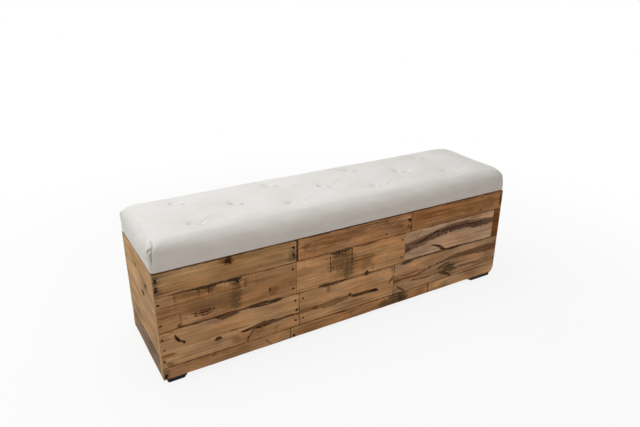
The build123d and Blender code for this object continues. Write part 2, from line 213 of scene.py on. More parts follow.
# Of each side: the axis and sign that run along it, and the axis and sign that run in from its face.
SIDES = {
    "front": (0, 1, 1, 1),
    "back": (0, -1, 1, -1),
    "left": (1, -1, 0, 1),
    "right": (1, 1, 0, -1),
}
SIDE_START = {"front": END_FACE, "back": END_FACE, "left": BACK_FACE, "right": FRONT_FACE}
SIDE_FACE = {"front": FRONT_FACE, "back": BACK_FACE, "left": END_FACE, "right": END_FACE}
BOARD_DIRT = paint(40, 25, 15)
KNOT_CORE = paint(36, 12, 6)
KNOT_RIM = paint(92, 50, 24)
RUST_STAIN = paint(44, 24, 17)
# Colour of the old nail holes: painted shade inside each hole, with iron stain in it.
HOLE_SHADE_AND_RUST = paint(20, 9, 7)
END_GRAIN = paint(196, 158, 112)
BOARD_THICK = round(FRONT_FACE + 1000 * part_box("front_top_board_1")[1].y, 1)
EDGE_RADIUS = 0.9
EDGE_WEAR = 0.9
INNER_RADIUS = 0.8
END_RADIUS = 0.8
STATION_STEP = 9.0
SHORTEST_NAILED = 40.0
NAIL_END_MARGIN = 14.0
NAIL_OUTER_MARGIN = 9.0
NAIL_EDGE_MARGIN = 24.0
NAIL_FLOOR_LEVEL = 22.5
NAIL_POST_LINE = 135.7
NAIL_FLOOR_LINE = 50.0
CRATER_RADIUS = 3.4
CRATER_DEPTH = 0.9
# Of every nail: its side, its place along the side and below the rim, and whether it is filled over.
nail_heads = []


def rising(value, zero, one):
    """Straight ramp that is 0 at the first limit, 1 at the second and level outside them."""
    return np.clip((value - zero) / (one - zero), 0, 1)


def wander(t, seed, length):
    """Smooth seeded wave from -1 to 1: four sines whose lengths fall from the given one."""
    draw = np.random.default_rng(seed)
    total = 0 * t
    for part in range(4):
        rate = 2 * np.pi / length * 1.83 ** part
        total = total + np.sin(rate * t * draw.uniform(0.8, 1.2) + draw.uniform(0, 6.28)) * 0.62 ** part
    return total / 2.4


def clustered(low, high, step, spots, reach):
    """Even stations from low to high, with finer ones round the spots."""
    count = max(int(round((high - low) / step)), 2)
    near = np.linspace(-reach, reach, 9)
    fine = [spot + near for spot in spots]
    stations = np.concatenate([np.linspace(low, high, count + 1), *fine])
    stations = np.unique(np.round(stations[(stations >= low) & (stations <= high)], 2))
    keep = np.concatenate([[True], np.diff(stations) > 0.25])
    return stations[keep]


def ring_quads(index):
    """Corners of the faces between the rows of a grid of point numbers that closes on itself."""
    beside = np.roll(index, -1, axis=1)
    return np.stack([index[:-1], beside[:-1], beside[1:], index[1:]], axis=-1).reshape(-1, 4)


def in_scene(name, data):
    """New object of the scene that shows a mesh, a lamp or a camera."""
    item = bpy.data.objects.new(name, data)
    bpy.context.scene.collection.objects.link(item)
    return item


def new_piece(name, points, faces):
    """New object with a mesh of points in mm and faces between them."""
    mesh = bpy.data.meshes.new(name)
    mesh.from_pydata((points / 1000).tolist(), [], faces)
    return in_scene(name, mesh)


def grid_piece(name, points, caps=False):
    """Mesh from a grid of points (rows, around, 3) in mm that closes on itself round each row."""
    rows, around = points.shape[:2]
    index = np.arange(rows * around).reshape(rows, around)
    quads = ring_quads(index)
    corners = points.reshape(-1, 3)
    a, b, c, d = (corners[quads[:, k]] for k in range(4))
    inside_out = np.sum(np.cross(c - a, d - b) * (a + b + c + d - 4 * corners.mean(0))) < 0
    if inside_out:
        quads = quads[:, ::-1]
    faces = quads.tolist()
    if caps:
        first, last = index[0].tolist(), index[-1].tolist()
        faces += [first, last[::-1]] if inside_out else [first[::-1], last]
    return new_piece(name, corners, faces)


def shade_smooth(piece, sharp_degrees=None):
    """Smooth shading, with edges over an angle kept sharp where one is given."""
    piece.data.shade_smooth()
    if sharp_degrees:
        piece.data.set_sharp_from_angle(angle=np.radians(sharp_degrees))


def to_bench(side, along, below, behind):
    """Bench coordinates in mm of points given along a side, below its rim and behind its face."""
    along_axis, along_sign, depth_axis, depth_sign = SIDES[side]
    points = np.zeros((*np.shape(along), 3))
    points[..., along_axis] = along_sign * (along - SIDE_START[side])
    points[..., depth_axis] = depth_sign * (behind - SIDE_FACE[side])
    points[..., 2] = RIM - below
    return points


def board_extent(side, node):
    """Limits of a board's node: along its side and below the rim, in mm."""
    low, high = (1000 * np.array(corner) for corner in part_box(node))
    along_axis, along_sign = SIDES[side][:2]
    ends = sorted(along_sign * limit[along_axis] + SIDE_START[side] for limit in (low, high))
    return ends, (RIM - high[2], RIM - low[2])


def nail_spots(side, node):
    """Where a board's nails are, along its side and below the rim, those of its left half first."""
    (left, right), (top, bottom) = board_extent(side, node)
    levels = [top + NAIL_EDGE_MARGIN, bottom - NAIL_EDGE_MARGIN]
    if side in ("left", "right"):
        middle = (left + right) / 2
        if "low" in node:
            levels = levels[:1]
        columns = [(middle + sign * NAIL_POST_LINE, levels) for sign in (-1, 1)]
        if "low" in node:
            columns += [(middle + sign * NAIL_FLOOR_LINE, [RIM - NAIL_FLOOR_LEVEL]) for sign in (-1, 1)]
    else:
        if "bottom" in node:
            levels = [RIM - NAIL_FLOOR_LEVEL]
        long_enough = right - left > SHORTEST_NAILED
        is_first, is_last = left < 1, right > BENCH_LENGTH - 1
        columns = []
        if is_first or long_enough:
            columns.append((left + (NAIL_OUTER_MARGIN if is_first else NAIL_END_MARGIN), levels))
        if is_last or long_enough:
            columns.append((right - (NAIL_OUTER_MARGIN if is_last else NAIL_END_MARGIN), levels))
    spots = [(column, level) for column, levels in columns for level in levels]
    halves = {"left": [], "right": []}
    for spot in spots:
        halves["left" if spot[0] < (left + right) / 2 else "right"].append(spot)
    return halves


def board_mesh(side, node, seed, nails, bite):
    """Rounded rectangular section carried along the board; edges, ends and face wander inwards a little.

    The corner radii, the width and the set-back of the face change along the board by seeded waves, each
    nail has a small round crater, and a bite takes a corner off the lower right end.
    """
    (left, right), (top, bottom) = board_extent(side, node)
    end_steps = END_RADIUS * np.array([0, 0.25, 0.6, 1.0])
    u = clustered(left, right, STATION_STEP, [spot[0] for spot in nails], CRATER_RADIUS)
    inside = u[(u > left + 2) & (u < right - 2)]
    u = np.unique(np.concatenate([inside, left + end_steps, right - end_steps]))
    from_end = np.minimum(u - left, right - u)
    pull = np.clip(END_RADIUS - from_end, 0, END_RADIUS)
    inset = (END_RADIUS - np.sqrt(END_RADIUS ** 2 - pull ** 2))[:, None]
    u = u[:, None]
    middle = (top + bottom) / 2
    half = (bottom - top) / 2
    upper = half - inset - 0.35 * (1 + wander(u, seed, 310)) * EDGE_WEAR
    lower = half - inset - 0.35 * (1 + wander(u, seed + 1, 270)) * EDGE_WEAR
    upper_radius = EDGE_RADIUS * (1.25 + 0.75 * wander(u, seed + 2, 160))
    lower_radius = EDGE_RADIUS * (1.25 + 0.75 * wander(u, seed + 3, 190))
    face = inset + 0.25 + 0.2 * wander(u, seed + 4, 420)
    nail_levels = [spot[1] - middle for spot in nails]
    levels = clustered(-half + 3, half - 3, STATION_STEP, nail_levels, CRATER_RADIUS)
    share = ((levels + half) / (2 * half))[None, :]
    turn = np.radians([0, 30, 60, 90])[None, :]
    inner = BOARD_THICK - inset
    ones = np.ones_like(u)
    v_face = -upper + upper_radius + share * (upper + lower - upper_radius - lower_radius)
    v_low = lower - lower_radius + lower_radius * np.sin(turn)
    w_low = face + lower_radius - lower_radius * np.cos(turn)
    v_low_in = lower - INNER_RADIUS + INNER_RADIUS * np.cos(turn)
    w_in = inner - INNER_RADIUS + INNER_RADIUS * np.sin(turn)
    v_back = np.linspace(1, -1, 6)[None, 1:-1] * (half - inset - INNER_RADIUS)
    v_up_in = -upper + INNER_RADIUS - INNER_RADIUS * np.cos(turn[:, ::-1])
    w_up_in = inner - INNER_RADIUS + INNER_RADIUS * np.sin(turn[:, ::-1])
    v_up = -upper + upper_radius - upper_radius * np.sin(turn[:, ::-1])
    w_up = face + upper_radius - upper_radius * np.cos(turn[:, ::-1])
    v = np.concatenate([v_face, v_low, v_low_in, v_back * ones, v_up_in, v_up], axis=1)
    w_face, w_back = face * np.ones_like(v_face), inner * np.ones_like(v_back)
    w = np.concatenate([w_face, w_low, w_in, w_back, w_up_in, w_up], axis=1)
    near_end = (np.abs(u - (left + right) / 2) / (right - left) * 2) ** 9
    along = np.clip(u + 0.6 * wander(v / half + 0 * u, seed + 5, 4.0) * near_end, left, right)
    along = along - bite * np.clip((v - 0.25 * half) / (0.3 * half), 0, 1) * rising(u, right - 45, right)
    ripple = 0.12 * wander(along + 3.1 * v, seed + 6, 95) + 0.12 * wander(v + 0.21 * along, seed + 7, 40)
    is_face = np.arange(v.shape[1])[None, :] < v_face.shape[1]
    w = w + is_face * (0.12 + ripple / 2)
    for spot_along, spot_level in nails:
        away = np.hypot(along - spot_along, v + middle - spot_level)
        w = w + is_face * CRATER_DEPTH * np.clip(1 - away / CRATER_RADIUS, 0, 1) ** 0.5
    return grid_piece(node, to_bench(side, along, v + middle, w), caps=True)


def board_finish(name, side, limits, nails, tone, ring, pith, wave, contrast, saw, dirt, joints, seed,
                 marks):
    """Sawn softwood. Year rings lie round a pith line behind the face, so r = hypot(across, depth),
    shifted by slow and quick waves and swollen round each knot; the late wood is the end of each ring.
    Fibres, bands, clouds, specks, saw lines, dirt in the joints and the board's marks lie over them."""
    material, shader, place = new_finish(name)
    shader.inputs["Specular IOR Level"].default_value = 0.04
    along_axis, along_sign, depth_axis, depth_sign = SIDES[side]
    axes = place.parts()
    a = axes[along_axis] * along_sign + SIDE_START[side]
    c = axes[2] * -1.0 + RIM
    d = axes[depth_axis] * depth_sign + SIDE_FACE[side]
    spot = a.joined(c, d)
    quick = spot.noise((75, 16, 16), seed + 2.3) - 0.5
    slow = spot.noise((380, 70, 70), seed) - 0.5
    fray = spot.noise((11, 4, 4), seed + 4.1, 3.0) - 0.5
    fibre = spot.noise((60, 1.0, 1.0), seed + 1.7) - 0.5
    band = spot.noise((240, 9, 9), seed + 5.3, 3.0) - 0.5
    cloud = spot.noise((130, 42, 42), seed + 6.9, 4.0) - 0.5
    warmth = spot.noise((190, 60, 60), seed + 9.4, 3.0)

    def oval(at, below, reach, half):
        """Distance from a place, 1 at the given reach along the board and half width across it."""
        x = (a - at) / reach
        z = (c - below) / half
        return (x * x + z * z).math("SQRT")

    across = c - pith[0] + slow * wave[0] + quick * wave[1]
    depth = d + pith[1]
    r = (across * across + depth * depth).math("SQRT")
    knots = []
    for at, below, reach, half, swell in marks.get("knots", ()):
        q = oval(at, below, reach, half)
        knots.append(q + fray * 2.6)
        r = r + (q * q * -0.45).math("EXPONENT") * swell
    drift = (r * 0.045).joined(seed, 0.0).noise((1, 1, 1), seed, 1.0)
    turn = ((r + drift * (2.4 * ring)) / ring).math("FRACT")
    late = turn.step(0.2, 0.85) * turn.step(1.0, 0.9) * warmth.step(0.62, 0.4)
    ground = paint(*tone)
    colour = (late * contrast).mix(ground, (0.66 * ground[0], 0.58 * ground[1], 0.5 * ground[2], 1))
    colour = colour.scaled(fibre * 0.5 + band * 1.2 + cloud * 1.4 + 1.0)
    colour = (warmth.step(0.40, 0.62) * 0.7).mix(colour, (1.0, 0.86, 0.72, 1), "MULTIPLY")
    sawn = (a + c * 0.06).joined(c, d).noise((2.2, 130, 130), seed + 8.8, 2.0) - 0.5
    colour = colour.scaled(sawn * (0.7 * saw) + 1.0)
    dashes = spot.noise((34, 2.0, 2.0), seed + 15.7, 2.0).step(0.6, 0.72) * 0.4
    specks = spot.noise((5, 1.8, 1.8), seed + 13.1, 3.0).step(0.62, 0.74) * 0.4
    colour = (dashes + specks).mix(colour, (0.30 * ground[0], 0.22 * ground[1], 0.16 * ground[2], 1))
    for at, below, reach, half, tint, strength in marks.get("tones", ()):
        mask = (oval(at, below, reach, half) + cloud * 3.0 + fray * 2.0 + band * 2.0).step(1.3, 0.35)
        colour = (mask * strength).mix(colour, paint(*tint))
    for stops, tint, strength in marks.get("streaks", ()):
        first, length = stops[0][0], stops[-1][0] - stops[0][0]
        curve = [((at - first) / length, (below / 400, half / 40, 0, 1)) for at, below, half in stops]
        course = a.node("ShaderNodeValToRGB", {"stops": curve}, {"Fac": (a - first) / length})
        split = course.node("ShaderNodeSeparateColor", {}, {0: course})
        off = abs(c - split * 400.0 + quick * 18.0 + fray * 5.0) / (split.other("Green") * 40.0 + 0.01)
        mask = (off + fray * 1.2).step(1.3, 0.7) * (band * 2.2 + fibre * 1.0 + 0.94).math("MINIMUM", 1.0)
        colour = (mask * strength).mix(colour, paint(*tint))
    for at, below, reach, half, tint, strength, drip in marks.get("smudges", ()):
        grit = spot.noise((2.6, 60, 60) if drip else (6, 4, 4), seed + at * 0.01, 4.0)
        away = oval(at, below, reach, half) + fray * 3.0 + quick * 2.0
        mask = away.step(1.25, 0.6) * grit.step(0.38, 0.56)
        colour = (mask * strength).mix(colour, paint(*tint))
    (left, right), (top, bottom) = limits
    grime = spot.noise((45, 12, 12), seed + 17.3, 4.0) - 0.5
    edge = (c - top).math("MINIMUM", c * -1.0 + bottom) - grime * 18.0
    colour = (edge.step(2.6, 0.0) * (0.75 * dirt)).mix(colour, BOARD_DIRT)
    end = (a - left).math("MINIMUM", a * -1.0 + right)
    butt = (a - (left + right) / 2).step(-1.0, 1.0) * (joints[1] - joints[0]) + joints[0]
    if side in ("front", "back"):
        outer = (a * -1.0 + BENCH_LENGTH).math("MINIMUM", a)
        colour = (outer.step(5.0, 0.0) * 0.3).mix(colour, END_GRAIN)
        colour = (outer.step(1.2, 0.7) * 0.75).mix(colour, END_GRAIN)
        end = end + outer.step(20.0, 10.0) * 50.0
    colour = ((end - grime * 10.0).step(2.0, 0.0) * butt).mix(colour, BOARD_DIRT)
    height = fibre * 0.5 + late * 0.35 + sawn * (0.2 + saw) - dashes - specks
    for q in knots:
        rings = (q * 14.0).math("SINE") * 0.15 + 0.85
        colour = (q.step(1.6, 0.9) * 0.6).mix(colour, KNOT_RIM)
        colour = (q.step(1.05, 0.8) * rings).mix(colour, KNOT_CORE)
        height = height - q.step(1.1, 0.8) * 0.5
    for at, below, to_at, to_below, half, strength in marks.get("slashes", ()):
        run, drop = to_at - at, to_below - below
        share = ((a - at) * run + (c - below) * drop) / (run * run + drop * drop)
        share = share.math("MINIMUM", 1.0).math("MAXIMUM", 0.0)
        x = a - at - share * run
        z = c - below - share * drop
        mask = ((x * x + z * z).math("SQRT") + fray * (4.0 * half)).step(1.5 * half, 0.8 * half)
        colour = (mask * strength).mix(colour, KNOT_CORE)
        height = height - mask * (1.2 * strength)
    for at, below in nails:
        colour = ((oval(at, below, 1.0, 1.0) + fray * 9.0).step(5.4, 2.8) * 0.9).mix(colour, RUST_STAIN)
    # Each old nail hole is only a dip in the bump, so its inside is painted nearly black: painted shade,
    # with iron stain in it.
    for at, below, radius in marks.get("holes", ()):
        pit = (oval(at, below, radius, radius) + fray * 1.2).step(1.2, 0.7)
        colour = (pit * 0.95).mix(colour, HOLE_SHADE_AND_RUST)
        height = height - pit * 3.0
    feed(shader, colour, 0.72 + 0.3 * fibre, height, 0.0005)
    return material


def board(node, tone, slot, seed, ring=8.0, pith=(0.0, 40.0), wave=(26.0, 7.0), contrast=0.3, saw=0.25,
          dirt=0.6, joints=(0.6, 0.6), filled=(), bite=0.0, **marks):
    """One cladding board in place of its node: its mesh, finish and nails, some of them filled over.

    The pith lies below the board's middle and behind its face, and the wave shifts the rings slowly and
    quickly. Marks have places along the side and below the rim, in mm: a knot is (along, below, reach,
    half width, swell); a tone has a colour and a strength after the first four, and so has a smudge, which
    may run down in drips; a streak has stops (along, below, half width), a colour and a strength; a slash
    runs from one place to another with a half width and a strength; a hole is (along, below, radius).
    """
    side = node.split("_")[0]
    limits = board_extent(side, node)
    halves = nail_spots(side, node)
    shown = [spot for half, spots in halves.items() if half not in filled for spot in spots]
    nail_heads.extend((side, *spot, spot not in shown) for spots in halves.values() for spot in spots)
    piece = board_mesh(side, node, 100 + 10 * seed, shown, bite)
    shade_smooth(piece, 40)
    middle = (limits[1][0] + limits[1][1]) / 2
    pith = (middle + pith[0], pith[1])
    finish = board_finish(node, side, limits, shown, tone, ring, pith, wave, contrast, saw, dirt, joints,
                          3.7 * seed, marks)
    piece.data.materials.append(finish)
    piece.name = node + "_sawn"
    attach(piece, "box")
    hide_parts(node)


# Front, top row: three pine boards 75 mm wide, nailed at their ends to posts and cleats.
# The left one is straw yellow with a dark knot; iron from old nails has turned its ends blue grey.
board("front_top_board_1", (189, 151, 107), "yellow_pine", 1, pith=(60, 70), ring=9.0,
      knots=((230, 11, 12.5, 11, 14),),
      tones=((211, 9, 9, 10, (112, 76, 42), 0.55), (8, 36, 16, 36, (98, 80, 74), 0.6),
             (450, 46, 18, 34, (104, 84, 70), 0.7)),
      holes=((9.8, 18, 3.4), (6, 24.5, 2.4), (9, 42, 3.2), (7.5, 53, 4.4), (451, 20.5, 3.8), (456, 29, 2.2),
             (452, 45, 3.8), (454, 58, 2.4), (336, 57, 1.8), (209, 32, 1.6)),
      slashes=((465.5, 1, 465.5, 74, 3.0, 0.85),))
board("front_top_board_2", (192, 145, 103), "brown_pine", 2, pith=(-30, 60), ring=10.0, filled=("left",),
      tones=((498, 35, 16, 14, (112, 74, 42), 0.6), (527, 42, 14, 18, (138, 104, 84), 0.5),
             (630, 30, 95, 16, (130, 84, 46), 0.55), (860, 16, 90, 20, (112, 70, 42), 0.6),
             (929, 28, 9, 16, (66, 42, 28), 0.75)),
      holes=((508, 23.6, 2.6), (513, 51, 2.0), (825.5, 9, 3.2), (825.5, 15, 2.6), (825.5, 59.5, 3.6),
             (929.5, 26, 4.5), (934, 57, 3.0)),
      slashes=((935.5, 36, 935.5, 68, 2.0, 0.6),))
board("front_top_board_3", (182, 133, 89), "brown_pine", 3, pith=(40, 60), ring=11.0, filled=("left",),
      tones=((990, 40, 55, 24, (158, 108, 64), 0.5), (1140, 34, 130, 18, (122, 78, 40), 0.55),
             (1345, 42, 34, 20, (112, 82, 44), 0.5), (1391, 34, 10, 36, (66, 50, 44), 0.75)),
      holes=((1284, 8, 4.0), (1284.6, 60, 4.0), (1390, 14, 3.6), (1391, 50, 4.0)))

# Front, second row: two rough sawn brown boards, a pale figured one, and a filler strip at the right.
# They are 119 mm wide. The brown ones carry old stains along their edges and dark runs from strapping.
board("front_second_board_1", (185, 142, 101), "brown_pine", 4, pith=(-70, 80), ring=12.0, saw=0.7,
      joints=(0.6, 0.05),
      knots=((138, 163, 20, 3.6, 8), (365, 148, 4, 6, 12)),
      tones=((165, 132, 125, 62, (126, 88, 54), 0.45), (250, 146, 19, 46, (106, 84, 54), 0.65),
             (378, 158, 16, 20, (112, 74, 42), 0.45), (66, 184, 14, 12, (66, 42, 28), 0.7)),
      streaks=((((88, 77, 0), (100, 78, 2), (130, 79, 4), (165, 80, 5), (203, 78, 3), (240, 80, 5),
                 (266, 79, 5), (276, 77, 0)), (46, 33, 21), 0.85),
               (((50, 193, 0), (66, 191, 4), (90, 192, 3), (150, 192, 3), (185, 192, 4), (215, 191, 4),
                 (245, 192, 4), (262, 192, 3), (300, 191, 4), (330, 191, 4), (394, 192, 3), (450, 194, 0)),
                (48, 30, 17), 0.88)),
      smudges=((250, 90, 20, 18, (44, 33, 22), 0.8, True), (257, 92, 12, 12, (28, 9, 7), 0.9, False),
               (252, 126, 15, 36, (62, 48, 32), 0.5, True), (282, 99, 9, 15, (92, 54, 34), 0.7, True),
               (128, 92, 10, 17, (46, 30, 18), 0.8, True), (166, 90, 9, 12, (50, 32, 18), 0.7, True)),
      slashes=((104, 159, 135, 154, 1.7, 0.75), (135, 154, 178, 160, 1.7, 0.75),
               (112, 168, 150, 174, 1.7, 0.75), (150, 174, 174, 166, 1.7, 0.75),
               (58, 77, 58, 100, 2.0, 0.45), (71, 150, 72, 188, 1.8, 0.35)))
board("front_second_board_2", (205, 158, 112), "brown_pine", 5, pith=(-80, 70), ring=13.0, saw=0.5,
      filled=("left",), joints=(0.05, 0.1),
      tones=((640, 125, 48, 36, (122, 92, 58), 0.6), (664, 170, 22, 22, (108, 90, 66), 0.55),
             (748, 152, 28, 36, (114, 82, 48), 0.55), (771, 178, 9, 16, (100, 82, 42), 0.65)),
      streaks=((((588, 78, 0), (594, 80, 4), (610, 81, 6), (640, 82, 6), (672, 80, 4), (682, 78, 0)),
                (42, 40, 34), 0.88),
               (((690, 77, 0), (705, 77, 2), (740, 77, 3), (766, 77, 2), (800, 77, 0)), (52, 36, 22), 0.85),
               (((540, 194, 0), (560, 193, 2), (575, 193, 3), (640, 193, 2), (690, 194, 0)),
                (52, 31, 18), 0.85),
               (((732, 194, 0), (746, 191, 6), (758, 194, 0)), (52, 22, 14), 0.95)),
      smudges=((634, 90, 46, 12, (42, 40, 34), 0.85, True), (640, 124, 44, 40, (84, 66, 44), 0.45, True),
               (664, 168, 18, 24, (92, 78, 58), 0.45, True)),
      slashes=((593, 92, 594, 146, 1.9, 0.75), (680, 84, 681, 142, 1.9, 0.75)))
board("front_second_board_3", (213, 177, 144), "pale_pine", 6, pith=(20, 50), wave=(40.0, 8.0),
      joints=(0.1, 0.3), filled=("left", "right"),
      tones=((1000, 160, 60, 16, (150, 120, 104), 0.4),),
      streaks=((((905, 140, 18), (975, 131, 18), (1006, 124, 18), (1063, 114, 17), (1109, 107, 16),
                 (1170, 103, 16), (1223, 106, 17), (1280, 114, 18), (1330, 116, 13), (1375, 117, 9)),
                (102, 72, 58), 0.92),
               (((940, 134, 0), (960, 132, 3), (1002, 124, 5), (1040, 110, 5), (1066, 102, 5),
                 (1085, 104, 0)), (54, 28, 18), 0.95),
               (((1075, 112, 0), (1100, 108, 3), (1150, 104, 3), (1200, 104, 3), (1232, 107, 4),
                 (1290, 112, 4), (1330, 112, 0)), (68, 40, 28), 0.85),
               (((1090, 124, 0), (1140, 116, 4), (1200, 117, 3), (1262, 122, 5), (1300, 122, 3),
                 (1350, 122, 0)), (72, 44, 30), 0.8),
               (((1036, 157, 0), (1060, 162, 4), (1093, 175, 7), (1112, 188, 6), (1150, 192, 4),
                 (1165, 194, 0)), (56, 32, 20), 0.97),
               (((905, 192, 5), (937, 192, 4), (960, 192, 3), (1100, 191, 5), (1150, 192, 3),
                 (1200, 192, 3), (1260, 193, 2), (1364, 194, 1)), (40, 23, 14), 0.92)),
      smudges=((1074, 121, 10, 10, (52, 28, 22), 0.95, False), (1227, 107, 6, 5, (44, 24, 16), 0.95, False),
               (930, 150, 16, 12, (66, 48, 40), 0.7, False)),
      slashes=((966, 106, 990, 80, 1.8, 0.55), (1240, 88, 1256, 80, 1.6, 0.5),
               (1268, 152, 1360, 156, 1.4, 0.35)))
board("front_second_board_4", (142, 95, 51), "brown_pine", 7, pith=(10, 60), ring=6.0, filled=("right",))

# Front, third row: three light pine boards 124 mm wide, butted over the cleats and nailed there.
# They have a strong figure, and brown heartwood runs through all of them.
board("front_third_board_1", (204, 163, 121), "yellow_pine", 8, pith=(10, 46), ring=9.0,
      knots=((462, 256, 5, 5, 8),),
      tones=((110, 232, 110, 32, (176, 134, 92), 0.4), (170, 203, 50, 10, (152, 118, 98), 0.5),
             (240, 295, 12, 10, (116, 80, 48), 0.4), (322, 291, 12, 9, (112, 76, 44), 0.4),
             (386, 299, 10, 8, (118, 80, 46), 0.4), (330, 296, 60, 22, (150, 108, 74), 0.4),
             (26, 312, 12, 8, (110, 76, 44), 0.65)),
      streaks=((((250, 272, 0), (262, 272, 3), (302, 272, 7), (330, 272, 9), (352, 272, 8), (400, 272, 5),
                 (471, 271, 5)), (54, 29, 12), 0.97),
               (((166, 273, 0), (178, 273, 4), (188, 273, 4), (198, 273, 0)), (62, 34, 14), 0.95),
               (((190, 261, 0), (230, 259, 2), (285, 256, 2), (300, 255, 0)), (118, 70, 40), 0.75),
               (((0, 276, 3), (30, 277, 3), (58, 276, 0)), (118, 70, 40), 0.8),
               (((0, 285, 2), (40, 284, 2), (66, 283, 0)), (124, 76, 46), 0.65),
               (((176, 197, 0), (190, 199, 5), (203, 202, 9), (216, 200, 7), (245, 198, 3), (262, 197, 0)),
                (60, 39, 21), 0.82),
               (((255, 197, 0), (300, 197, 2), (378, 199, 4), (396, 198, 2), (420, 197, 0)),
                (52, 32, 16), 0.9)),
      smudges=((41, 199, 5, 5, (54, 30, 16), 0.85, False),),
      slashes=((49, 215, 52, 225, 3.0, 0.9), (52, 225, 60, 237, 4.0, 0.95), (60, 237, 75, 247, 3.0, 0.9),
               (304, 281, 283, 304, 3.4, 0.55), (283, 304, 278, 317, 3.0, 0.5)),
      holes=((13, 256, 3.2),))
board("front_third_board_2", (205, 162, 118), "yellow_pine", 9, pith=(16, 40), filled=("right",),
      knots=((675, 260, 6, 5, 8),),
      tones=((530, 270, 14, 10, (76, 56, 32), 0.75), (586, 212, 8, 16, (106, 86, 60), 0.65),
             (862, 214, 9, 18, (138, 96, 60), 0.65)),
      streaks=((((471, 269, 8), (530, 270, 10), (600, 272, 12), (650, 269, 9), (690, 266, 0)),
                (108, 70, 38), 0.75),
               (((676, 268, 0), (690, 271, 4), (720, 272, 6), (750, 272, 5), (775, 273, 5), (795, 275, 4),
                 (808, 277, 0)), (54, 46, 28), 0.9),
               (((756, 272, 0), (775, 273, 6), (795, 275, 5), (808, 277, 0)), (44, 18, 16), 0.92),
               (((545, 197, 0), (560, 197, 2), (602, 197, 3), (690, 197, 0)), (54, 33, 19), 0.8),
               (((732, 198, 0), (746, 199, 6), (760, 198, 0)), (56, 24, 15), 0.95)),
      smudges=((520, 286, 28, 12, (150, 112, 78), 0.45, True),
               (800, 285, 14, 4, (176, 156, 136), 0.5, False)),
      slashes=((849, 264, 867, 241, 4.0, 0.62),))
board("front_third_board_3", (192, 154, 118), "yellow_pine", 10, pith=(24, 36), wave=(36.0, 9.0),
      filled=("left",),
      tones=((1330, 285, 60, 20, (150, 110, 76), 0.4), (1150, 276, 42, 22, (98, 80, 56), 0.95),
             (1000, 274, 70, 12, (134, 92, 66), 0.55)),
      streaks=((((870, 266, 5), (905, 268, 5), (960, 266, 3), (1010, 260, 4), (1051, 252, 0)),
                (108, 64, 38), 0.85),
               (((940, 282, 0), (960, 283, 4), (1000, 286, 4), (1040, 290, 3), (1060, 292, 0)),
                (74, 44, 24), 0.9),
               (((1040, 250, 2), (1116, 240, 6), (1177, 233, 9), (1261, 236, 13), (1330, 238, 15),
                 (1400, 240, 13)), (102, 70, 46), 0.85),
               (((1070, 274, 0), (1086, 267, 3), (1112, 259, 5), (1138, 255, 4), (1160, 256, 0)),
                (64, 50, 32), 0.85),
               (((1080, 284, 0), (1097, 288, 4), (1124, 297, 7), (1147, 309, 8), (1160, 317, 0)),
                (70, 40, 30), 0.88),
               (((1195, 287, 0), (1210, 288, 4), (1260, 290, 4), (1310, 291, 2), (1320, 291, 0)),
                (96, 62, 36), 0.8),
               (((895, 198, 0), (912, 198, 4), (938, 198, 4), (960, 197, 0)), (52, 30, 16), 0.85)),
      smudges=((1044, 250, 9, 7, (54, 28, 16), 0.95, False), (1146, 270, 30, 15, (74, 62, 44), 0.8, False),
               (1120, 284, 26, 8, (92, 62, 46), 0.6, False), (1200, 281, 7, 5, (52, 34, 22), 0.85, False)),
      slashes=((890, 292, 921, 318, 3.6, 0.65),))

# Front, bottom row: four narrow boards cut down from wider ones, nailed to the edge of the floor panel.
# Oil has left dark patches in the middle, and the last board has lost a corner.
board("front_bottom_board_1", (191, 148, 106), "brown_pine", 11, pith=(-40, 50), ring=10.0,
      filled=("right",),
      tones=((8, 338, 14, 24, (98, 76, 58), 0.55), (165, 327, 12, 6, (100, 66, 36), 0.65)),
      slashes=((344, 336, 365, 358, 2.6, 0.45),),
      holes=((10, 347, 4.8),))
board("front_bottom_board_2", (196, 151, 106), "brown_pine", 12, pith=(30, 50), ring=9.0, filled=("right",),
      tones=((490, 344, 45, 18, (164, 112, 66), 0.5), (664, 338, 26, 12, (170, 106, 66), 0.6),
             (682, 340, 16, 12, (122, 102, 86), 0.5), (832, 342, 26, 24, (92, 68, 42), 0.7)),
      streaks=((((560, 321, 0), (640, 322, 3), (700, 322, 1), (760, 321, 2), (853, 321, 2)),
                (76, 50, 28), 0.75),),
      holes=((448, 352, 3.6),))
board("front_bottom_board_3", (194, 151, 109), "brown_pine", 13, pith=(-20, 40), ring=9.0,
      filled=("left", "right"),
      tones=((912, 342, 38, 26, (68, 56, 38), 0.8), (868, 342, 16, 24, (92, 68, 42), 0.6),
             (1005, 340, 34, 20, (156, 100, 62), 0.6)),
      smudges=((905, 348, 30, 14, (44, 40, 30), 0.7, False),))
board("front_bottom_board_4", (217, 175, 131), "brown_pine", 14, pith=(36, 50), ring=10.0,
      filled=("left", "right"), bite=8.0,
      tones=((1062, 340, 16, 16, (168, 124, 94), 0.5), (1126, 342, 24, 18, (158, 126, 76), 0.5),
             (1262, 338, 26, 14, (172, 112, 80), 0.5)),
      slashes=((1044.5, 321, 1044.5, 361, 2.0, 0.8),))

